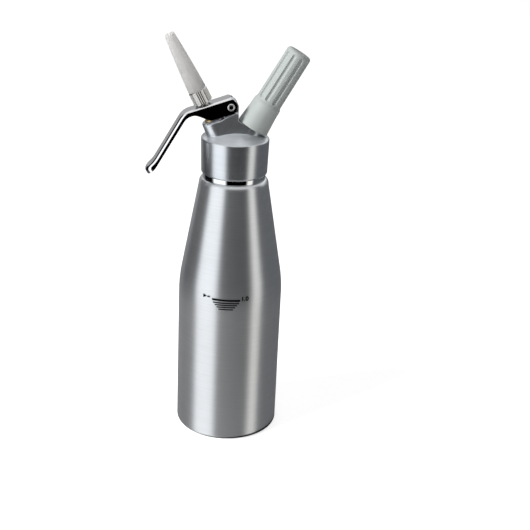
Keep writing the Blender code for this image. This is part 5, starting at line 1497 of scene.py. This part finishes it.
def make_piston(valve, steel, axis):
    """The hollow piston with its cross port and the adapter's thread."""
    piston = body_of("piston", lathe(piston_profile(valve), SMALL_SIDES))
    port = Matrix.Translation((0, 0, valve.port_height)) @ ACROSS
    mesh = evaluated(drilled(piston, valve.port, -valve.land, valve.land, port, SMALL_SIDES // 2))
    mesh.transform(axis)
    root = valve.piston - valve.thread_depth
    ridge = thread(steel, axis, root - BURY, valve.thread_depth + BURY, valve.thread_rise,
                   valve.thread_pitch, valve.thread_turns)
    finish("piston_tube", joined(mesh, ridge), steel, "piston", "steel", "piston")


def make_gland_nut(valve, brass, axis):
    """The gland nut with the slot for its spanner."""
    small = valve.edge_round
    top = valve.gland_top
    head_foot = top - valve.gland_head
    foot = top - valve.gland_length
    profile = fillet([(valve.gland_bore, top, small), (valve.gland, top, 2 * small),
                      (valve.gland, head_foot, small), (valve.gland_sleeve, head_foot),
                      (valve.gland_sleeve, foot, small), (valve.gland_bore, foot, small)], True)
    nut = body_of("gland_nut", lathe(profile, SMALL_SIDES, True))
    reach = valve.gland + OVERRUN
    slot = [(-reach, top - valve.slot_depth), (reach, top - valve.slot_depth), (reach, top + OVERRUN),
            (-reach, top + OVERRUN)]
    mesh = evaluated(carve(nut, 'DIFFERENCE', prism(slot, valve.slot / 2)))
    mesh.transform(axis)
    finish("slotted_nut", mesh, brass, "head", "brass", "gland_nut")


def make_valve(valve, colours):
    """The piston, its return spring and the gland nut."""
    axis = along("adapter_turn")
    steel = plated("steel", colours.steel, 0.2)
    make_piston(valve, steel, axis)
    make_spring("piston_spring", "piston_travel", valve, steel, axis, valve.spring, valve.wire,
                valve.gland_top + FIT, valve.collar_foot - FIT)
    make_gland_nut(valve, plated("brass", colours.brass, 0.24), axis)


def make_adapter(valve, colours):
    """The knurled nozzle adapter."""
    axis = along("adapter_turn")
    steel = plated("adapter_steel", colours.steel, 0.16)
    core = valve.adapter - valve.knurl
    cup = valve.adapter - valve.adapter_wall
    root = valve.piston + FIT
    chamfer = valve.adapter_chamfer
    small = chamfer / 3
    high = valve.adapter_height
    floor = valve.adapter_floor
    profile = fillet([(root, 0, small), (core - chamfer, 0, small), (core, chamfer, small),
                      (core, high - chamfer, small), (core - chamfer, high, small), (cup, high, small),
                      (cup, floor), (root, floor, small)], True)
    body = evaluated(body_of("nozzle_adapter", lathe(profile, HEAD_SIDES, True), axis))
    ridge = math.pi * core / valve.knurl_count * valve.knurl_share
    ridges = grow(knurl_tree(), {"Count": valve.knurl_count, "Radius": valve.adapter - ridge,
                                 "Ridge": ridge, "Low": chamfer, "High": high - chamfer,
                                 "Taper": chamfer, "Material": steel}, axis)
    inner = thread(steel, axis, root + BURY, valve.thread_depth, valve.thread_rise + valve.thread_pitch / 2,
                   valve.thread_pitch, valve.thread_turns)
    finish("knurled_adapter", joined(body, ridges, inner), steel, "adapter", "adapter_steel",
           "nozzle_adapter")


# Nozzle and holder

def notch_foot(nozzle):
    """Height under which no notch reaches."""
    return nozzle.top - nozzle.notch - OVERRUN


def nozzle_profile(nozzle):
    """Closed profile of the nozzle's wall, before its notches."""
    rungs = 12
    mouth_rungs = 10
    small = nozzle.edge_round
    lip = nozzle.foot + nozzle.lip
    foot = [(nozzle.shank - nozzle.wall, nozzle.shank_foot, small), (nozzle.shank, nozzle.shank_foot, small),
            (nozzle.shank, nozzle.foot), (nozzle.base, nozzle.foot, small), (nozzle.base, lip, small)]
    taper = []
    for i in range(1, rungs):
        part = i / rungs
        radius = nozzle.base + (nozzle.neck - nozzle.base) * part + nozzle.bulge * math.sin(math.pi * part)
        taper.append((radius, lip + (nozzle.neck_height - lip) * part))
    taper.append((nozzle.neck, nozzle.neck_height, nozzle.neck_round))
    start = notch_foot(nozzle)
    for i in range(mouth_rungs + 1):
        height = start + (nozzle.top - start) * i / mouth_rungs
        part = (height - nozzle.neck_height) / (nozzle.top - nozzle.neck_height)
        taper.append((nozzle.neck + (nozzle.mouth - nozzle.neck) * part, height))
    inside = [(radius - nozzle.wall, height) for radius, height, *_ in reversed(taper)]
    return fillet(foot + taper + inside + [(nozzle.shank - nozzle.wall, lip, small)], True)


def notched_angles(nozzle):
    """Angles round the mouth, each with how deep a notch is there, as a share of its depth."""
    tooth_steps = 7
    slit = nozzle.notch_width / 2 / nozzle.mouth
    step = TURN / nozzle.teeth
    slit_shares = (-1, -0.5, 0, 0.5, 1)
    angles = []
    for i in range(nozzle.teeth):
        middle = nozzle.notch_phase + i * step
        angles += [(middle + slit * part, 1 - abs(part)) for part in slit_shares]
        angles += [(middle + slit + (step - 2 * slit) * j / tooth_steps, 0) for j in range(1, tooth_steps)]
    return angles


def make_nozzle(nozzle, colours):
    """The frosted nozzle with its toothed mouth."""
    axis = along("adapter_turn")
    mat = frosted("nozzle_plastic", colours.nozzle, colours.haze, axis, nozzle.foot, nozzle.top)
    start = notch_foot(nozzle)
    angles = notched_angles(nozzle)
    bm = bmesh.new()
    rows = []
    for radius, height in nozzle_profile(nozzle):
        depth = nozzle.notch * max(0, (height - start) / (nozzle.top - start))
        rows.append([vertex_at(bm, radius, height - cut * depth, angle) for angle, cut in angles])
    rows.append(rows[0])
    finish_bm("nozzle_spout", skin_of(bm, rows), axis, mat, "adapter", "nozzle_plastic", "nozzle")


def holder_outside(holder):
    """Profile of the holder's outside, from its mouth to the middle of its closed end."""
    shoulder_steps = 12
    grip_steps = 90
    end_steps = 6
    points = fillet([(holder.thread_root, 0), (holder.mouth, 0, holder.mouth_round),
                     (holder.skirt, holder.skirt_height, holder.skirt_round),
                     (holder.shoulder, holder.shoulder_height)])
    for i in range(1, shoulder_steps + 1):
        part = i / shoulder_steps
        drop = (holder.shoulder - holder.grip) * (0.5 + 0.5 * math.cos(math.pi * part))
        points.append((holder.grip + drop, holder.shoulder_height + holder.shoulder_round * part))
    low = holder.shoulder_height + holder.shoulder_round
    high = holder.length - holder.end_round
    for i in range(1, grip_steps + 1):
        part = i / grip_steps
        points.append((holder.grip + (holder.end - holder.grip) * part, low + (high - low) * part))
    edge = holder.end - holder.end_round
    points += arc((edge, high), (holder.end_round, holder.end_round), 0, math.pi / 2)[1:]
    points += [(edge * (1 - i / end_steps), holder.length) for i in range(1, end_steps + 1)]
    return points


def grooved(holder, radius, height, angle):
    """The radius of the holder at a place, where the grooves cut into it."""
    step = TURN / holder.flutes
    off = (angle - holder.flute_phase + step / 2) % step - step / 2
    size = holder.flute_radius
    past = max(holder.flute_start + size - height, height - holder.flute_end + size, 0)
    if past >= size:
        return radius
    size = math.sqrt(size * size - past * past)
    centre = holder.grip - holder.flute_depth + holder.flute_radius
    across = centre * math.sin(off)
    if abs(across) >= size:
        return radius
    cut = centre * math.cos(off) - math.sqrt(size * size - across * across)
    mix = max(0, min(1, 0.5 + 0.5 * (radius - cut) / holder.lip_round))
    return radius + (cut - radius) * mix - holder.lip_round * mix * (1 - mix)


def make_holder(holder, colours):
    """The charger holder with its grooved grip and blind bore."""
    axis = along("holder_turn")
    mat = moulded("holder_plastic", colours.holder, 0.3)
    sides = 32 * holder.flutes
    inside = fillet([(0, holder.bore_end), (holder.bore, holder.bore_end, holder.bore_round),
                     (holder.bore, holder.thread_length + OVERRUN),
                     (holder.thread_root, holder.thread_length), (holder.thread_root, OVERRUN / 2)])
    bm = bmesh.new()
    rows = []
    for radius, height in inside + holder_outside(holder):
        if radius < TOUCH:
            rows.append([bm.verts.new((0, 0, height))] * sides)
            continue
        row = []
        for i in range(sides):
            angle = TURN * i / sides
            size = grooved(holder, radius, height, angle) if radius > holder.bore + OVERRUN else radius
            row.append(vertex_at(bm, size, height, angle))
        rows.append(row)
    mesh = evaluated(body_of("charger_holder", skin_of(bm, rows), axis))
    ridge = thread(mat, axis, holder.thread_root + BURY, holder.thread_depth, holder.thread_rise,
                   holder.thread_pitch, holder.thread_turns)
    finish("holder_grip", joined(mesh, ridge), mat, "holder", "holder_plastic", "charger_holder")


def paint_carried(colours):
    """Finishes of the small inner pieces that keep their CAD shapes."""
    silicone = moulded("silicone", colours.silicone, 0.45)
    rubber = moulded("rubber", colours.rubber, 0.5)
    steel = plated("valve_steel", colours.steel, 0.2)
    brass = plated("valve_brass", colours.brass, 0.22)
    capsule = plated("charger_steel", colours.steel, 0.14)
    wanted = {silicone: ("head_gasket", "valve_seal", "adapter_washer", "charger_gasket"),
              rubber: ("piston_o_ring", "check_poppet"),
              steel: ("piercing_pin",),
              brass: ("seal_nut", "gas_valve_body", "valve_retainer"),
              capsule: ("gas_charger",)}
    for mat, names in wanted.items():
        for name in names:
            obj = frame["nodes"][name]
            obj.data.materials.clear()
            obj.data.materials.append(mat)


# Stage

SURROUND = (0.115, 0.12, 0.13)
CARD_EDGE = math.radians(6)
# Each card: where its azimuth is counted from, its azimuths and its elevations in degrees, and its light.
CARDS = (
    ("front", -34, 42, -65, 50, (0.0, 0.0, 0.0)),
    ("front", -34, 42, -75, -36, (0.2, 0.2, 0.2)),
    ("front", -136, -92, -40, 50, (0.005, 0.005, 0.006)),
    ("front", -86, -36, -65, 50, (1.47, 1.5, 1.53)),
    ("front", 43, 65, -65, 50, (1.25, 1.22, 1.16)),
    ("back", -36, -2, -18, 5, (0.36, 0.36, 0.36)),
    ("back", -28, 80, 5, 17, (0.55, 0.555, 0.565)),
    ("back", -28, 80, 17, 50, (1.3, 1.31, 1.33)),
    ("back", -28, 3, 5, 25, (0.45, 0.455, 0.465)),
)


def within(nodes, angle, low, high):
    """1 between two angles in degrees and 0 outside them, soft at both ends."""
    low = math.radians(low)
    high = math.radians(high)
    inside = nodes.ramp(angle, low - CARD_EDGE, low + CARD_EDGE)
    return inside * (1 - nodes.ramp(angle, high - CARD_EDGE, high + CARD_EDGE))


def flag_material(stage):
    """Dark studio flags with soft cards between them, by azimuth from the front or back and by elevation."""
    mat, nodes, place = paint("studio_flags")
    parted = nodes.add('ShaderNodeSeparateXYZ', None, {0: place})
    turns = {"front": nodes.math('ARCTAN2', parted.out('X'), -1 * parted.out('Y')),
             "back": nodes.math('ARCTAN2', parted.out('X'), parted.out('Y'))}
    elevation = nodes.math('ARCTANGENT', (parted.out('Z') - stage.eye) / stage.flag_radius)
    light = (*SURROUND, 1)
    for side, start, end, foot, top, colour in CARDS:
        mask = within(nodes, turns[side], start, end) * within(nodes, elevation, foot, top)
        light = nodes.mix(mask, light, (*colour, 1))
    shine(nodes, light)
    return mat


def shade_material():
    """The dark disc that the foot mirrors."""
    mat, nodes, place = paint("studio_shade")
    grain = nodes.noise(place, (200, 200, 200), 2)
    shine(nodes, nodes.mix(grain, (0.01, 0.01, 0.01, 1), (0.02, 0.02, 0.02, 1)))
    return mat


def only_in_reflections(obj):
    """Hides a stage piece from all but reflections."""
    for ray in ("camera", "diffuse", "transmission", "volume_scatter", "shadow"):
        setattr(obj, f"visible_{ray}", False)


def staged(name, bm, mat):
    """A stage piece."""
    obj = body_of(name, bm)
    obj.data.materials.append(mat)
    return obj


def lamp(name, place, aim, size, power):
    """A soft area lamp."""
    light = bpy.data.lights.new(name, 'AREA')
    light.energy = power
    light.shape = 'SQUARE'
    light.size = size
    obj = linked(name, light)
    obj.location = place
    obj.rotation_euler = (Vector(aim) - Vector(place)).to_track_quat('-Z', 'Y').to_euler()
    obj.visible_glossy = False


def make_world(stage):
    """White to the camera and in reflections, plain light for the rest."""
    world = bpy.data.worlds.new("studio")
    bpy.context.scene.world = world
    world.use_nodes = True
    world.node_tree.nodes.clear()
    nodes = Nodes(world.node_tree)
    path = nodes.add('ShaderNodeLightPath')
    rays = path.out('Is Camera Ray') + path.out('Is Glossy Ray') + path.out('Is Transmission Ray')
    seen = nodes.between(rays, 0, 1)
    level = seen + (1 - seen) * stage.ambient
    glow = nodes.add('ShaderNodeBackground', None, {'Color': (1, 1, 1, 1), 'Strength': level})
    nodes.add('ShaderNodeOutputWorld', None, {'Surface': glow})


def make_floor(stage):
    """A pale floor that shows white and keeps the object's shadow."""
    mat, nodes, place = paint("studio_floor")
    grain = nodes.noise(place, (40, 40, 40), 2)
    colour = nodes.mix(grain, (0.80, 0.80, 0.80, 1), (0.82, 0.82, 0.82, 1))
    plain = nodes.add('ShaderNodeBsdfDiffuse', None, {'Color': colour})
    level = nodes.add('ShaderNodeLightPath').out('Is Camera Ray') * stage.floor_glow
    glow = nodes.add('ShaderNodeEmission', None, {'Color': (1, 1, 1, 1), 'Strength': level})
    surface(nodes, nodes.add('ShaderNodeAddShader', None, {0: plain, 1: glow}))
    half = stage.floor_size / 2
    low = CAD_BOX[0].z - stage.floor_drop
    corners = ((-half, -half), (half, -half), (half, half), (-half, half))
    bm = bmesh.new()
    bm.faces.new([bm.verts.new((x, y, low)) for x, y in corners])
    floor = staged("studio_floor", bm, mat)
    floor.visible_glossy = False


def make_stage(stage):
    """Camera, floor, world, lamps and the flags that the metal mirrors."""
    scene = bpy.context.scene
    scene.view_settings.view_transform = 'Standard'
    camera = bpy.data.cameras.new("camera")
    camera.lens = stage.lens
    camera.sensor_width = stage.sensor
    obj = linked("camera", camera)
    turn = Matrix.Rotation(-stage.yaw, 4, 'Z') @ Matrix.Rotation(math.pi / 2 + stage.pitch, 4, 'X')
    obj.matrix_world = Matrix.Translation(stage.camera_place) @ turn @ Matrix.Rotation(stage.roll, 4, 'Z')
    scene.camera = obj
    make_world(stage)
    make_floor(stage)
    wall = lathe([(stage.flag_radius, stage.flag_foot), (stage.flag_radius, stage.flag_top)], STAGE_SIDES)
    bmesh.ops.reverse_faces(wall, faces=wall.faces)
    only_in_reflections(staged("studio_flags", wall, flag_material(stage)))
    disc = lathe([(0, -stage.shade_drop), (stage.shade_radius, -stage.shade_drop)], STAGE_SIDES)
    bmesh.ops.translate(disc, verts=disc.verts, vec=(stage.shade_aside, 0, 0))
    only_in_reflections(staged("studio_shade", disc, shade_material()))
    lamp("key_lamp", stage.key_place, stage.lamp_aim, stage.key_size, stage.key)
    lamp("fill_lamp", stage.fill_place, stage.lamp_aim, stage.fill_size, stage.fill)


# Add-on

def sizes_of(context, *names):
    """The size groups of some names."""
    return [getattr(context.scene, f"dispenser_{name}") for name in names]


class DISPENSER_OT_bottle(bpy.types.Operator):
    """Turn the bottle and wind its neck thread"""
    bl_idname = "dispenser.bottle"
    bl_label = "Bottle"

    def execute(self, context):
        make_bottle(*sizes_of(context, "bottle", "mark", "colours"))
        return {'FINISHED'}


class DISPENSER_OT_mark(bpy.types.Operator):
    """Print the filling mark on the bottle"""
    bl_idname = "dispenser.mark"
    bl_label = "Filling Mark"

    def execute(self, context):
        make_mark(*sizes_of(context, "bottle", "mark", "colours"))
        return {'FINISHED'}


class DISPENSER_OT_head(bpy.types.Operator):
    """Make the head's cap and block"""
    bl_idname = "dispenser.head"
    bl_label = "Head"

    def execute(self, context):
        make_head(*sizes_of(context, "head", "lever", "valve", "colours"))
        return {'FINISHED'}


class DISPENSER_OT_lever(bpy.types.Operator):
    """Press the lever and set its rivet"""
    bl_idname = "dispenser.lever"
    bl_label = "Lever and Rivet"

    def execute(self, context):
        make_lever(*sizes_of(context, "lever", "colours"))
        make_rivet(*sizes_of(context, "lever", "colours"))
        return {'FINISHED'}


class DISPENSER_OT_valve(bpy.types.Operator):
    """Turn the piston and the gland nut and wind the return spring"""
    bl_idname = "dispenser.valve"
    bl_label = "Piston, Spring and Gland Nut"

    def execute(self, context):
        make_valve(*sizes_of(context, "valve", "colours"))
        return {'FINISHED'}


class DISPENSER_OT_adapter(bpy.types.Operator):
    """Turn and knurl the nozzle adapter"""
    bl_idname = "dispenser.adapter"
    bl_label = "Nozzle Adapter"

    def execute(self, context):
        make_adapter(*sizes_of(context, "valve", "colours"))
        return {'FINISHED'}


class DISPENSER_OT_nozzle(bpy.types.Operator):
    """Mould the nozzle"""
    bl_idname = "dispenser.nozzle"
    bl_label = "Nozzle"

    def execute(self, context):
        make_nozzle(*sizes_of(context, "nozzle", "colours"))
        return {'FINISHED'}


class DISPENSER_OT_holder(bpy.types.Operator):
    """Mould the charger holder"""
    bl_idname = "dispenser.holder"
    bl_label = "Charger Holder"

    def execute(self, context):
        make_holder(*sizes_of(context, "holder", "colours"))
        return {'FINISHED'}


class DISPENSER_OT_inner(bpy.types.Operator):
    """Finish the seals, the gas valve and the charger and wind the check spring"""
    bl_idname = "dispenser.inner"
    bl_label = "Inner Pieces"

    def execute(self, context):
        paint_carried(*sizes_of(context, "colours"))
        make_check_spring(*sizes_of(context, "valve", "colours"))
        return {'FINISHED'}


class DISPENSER_OT_stage(bpy.types.Operator):
    """Set up the camera, floor and light"""
    bl_idname = "dispenser.stage"
    bl_label = "Stage"

    def execute(self, context):
        make_stage(*sizes_of(context, "stage"))
        return {'FINISHED'}


OPERATORS = (DISPENSER_OT_bottle, DISPENSER_OT_mark, DISPENSER_OT_head, DISPENSER_OT_lever,
             DISPENSER_OT_valve, DISPENSER_OT_adapter, DISPENSER_OT_nozzle, DISPENSER_OT_holder,
             DISPENSER_OT_inner, DISPENSER_OT_stage)


class DISPENSER_PT_panel(bpy.types.Panel):
    """Lists the dispenser's pieces"""
    bl_idname = "DISPENSER_PT_panel"
    bl_label = "Whipped Cream Dispenser"
    bl_space_type = 'VIEW_3D'
    bl_region_type = 'UI'
    bl_category = "Dispenser"

    def draw(self, context):
        for operator in OPERATORS:
            self.layout.operator(operator.bl_idname)
        for name, group in GROUPS.items():
            box = self.layout.box()
            box.label(text=group.__doc__)
            for size in group.__annotations__:
                box.prop(*sizes_of(context, name), size)


def register():
    """Adds the operators, the panel and the sizes to Blender."""
    for group in GROUPS.values():
        bpy.utils.register_class(group)
    for item in (*OPERATORS, DISPENSER_PT_panel):
        bpy.utils.register_class(item)
    for name, group in GROUPS.items():
        setattr(bpy.types.Scene, f"dispenser_{name}", PointerProperty(type=group))


def unregister():
    """Takes them out again."""
    for name in GROUPS:
        delattr(bpy.types.Scene, f"dispenser_{name}")
    for item in (DISPENSER_PT_panel, *OPERATORS, *GROUPS.values()):
        bpy.utils.unregister_class(item)


def main():
    register()
    for operator in OPERATORS:
        getattr(bpy.ops.dispenser, operator.bl_idname.split(".")[1])()


if __name__ == "__main__":
    main()
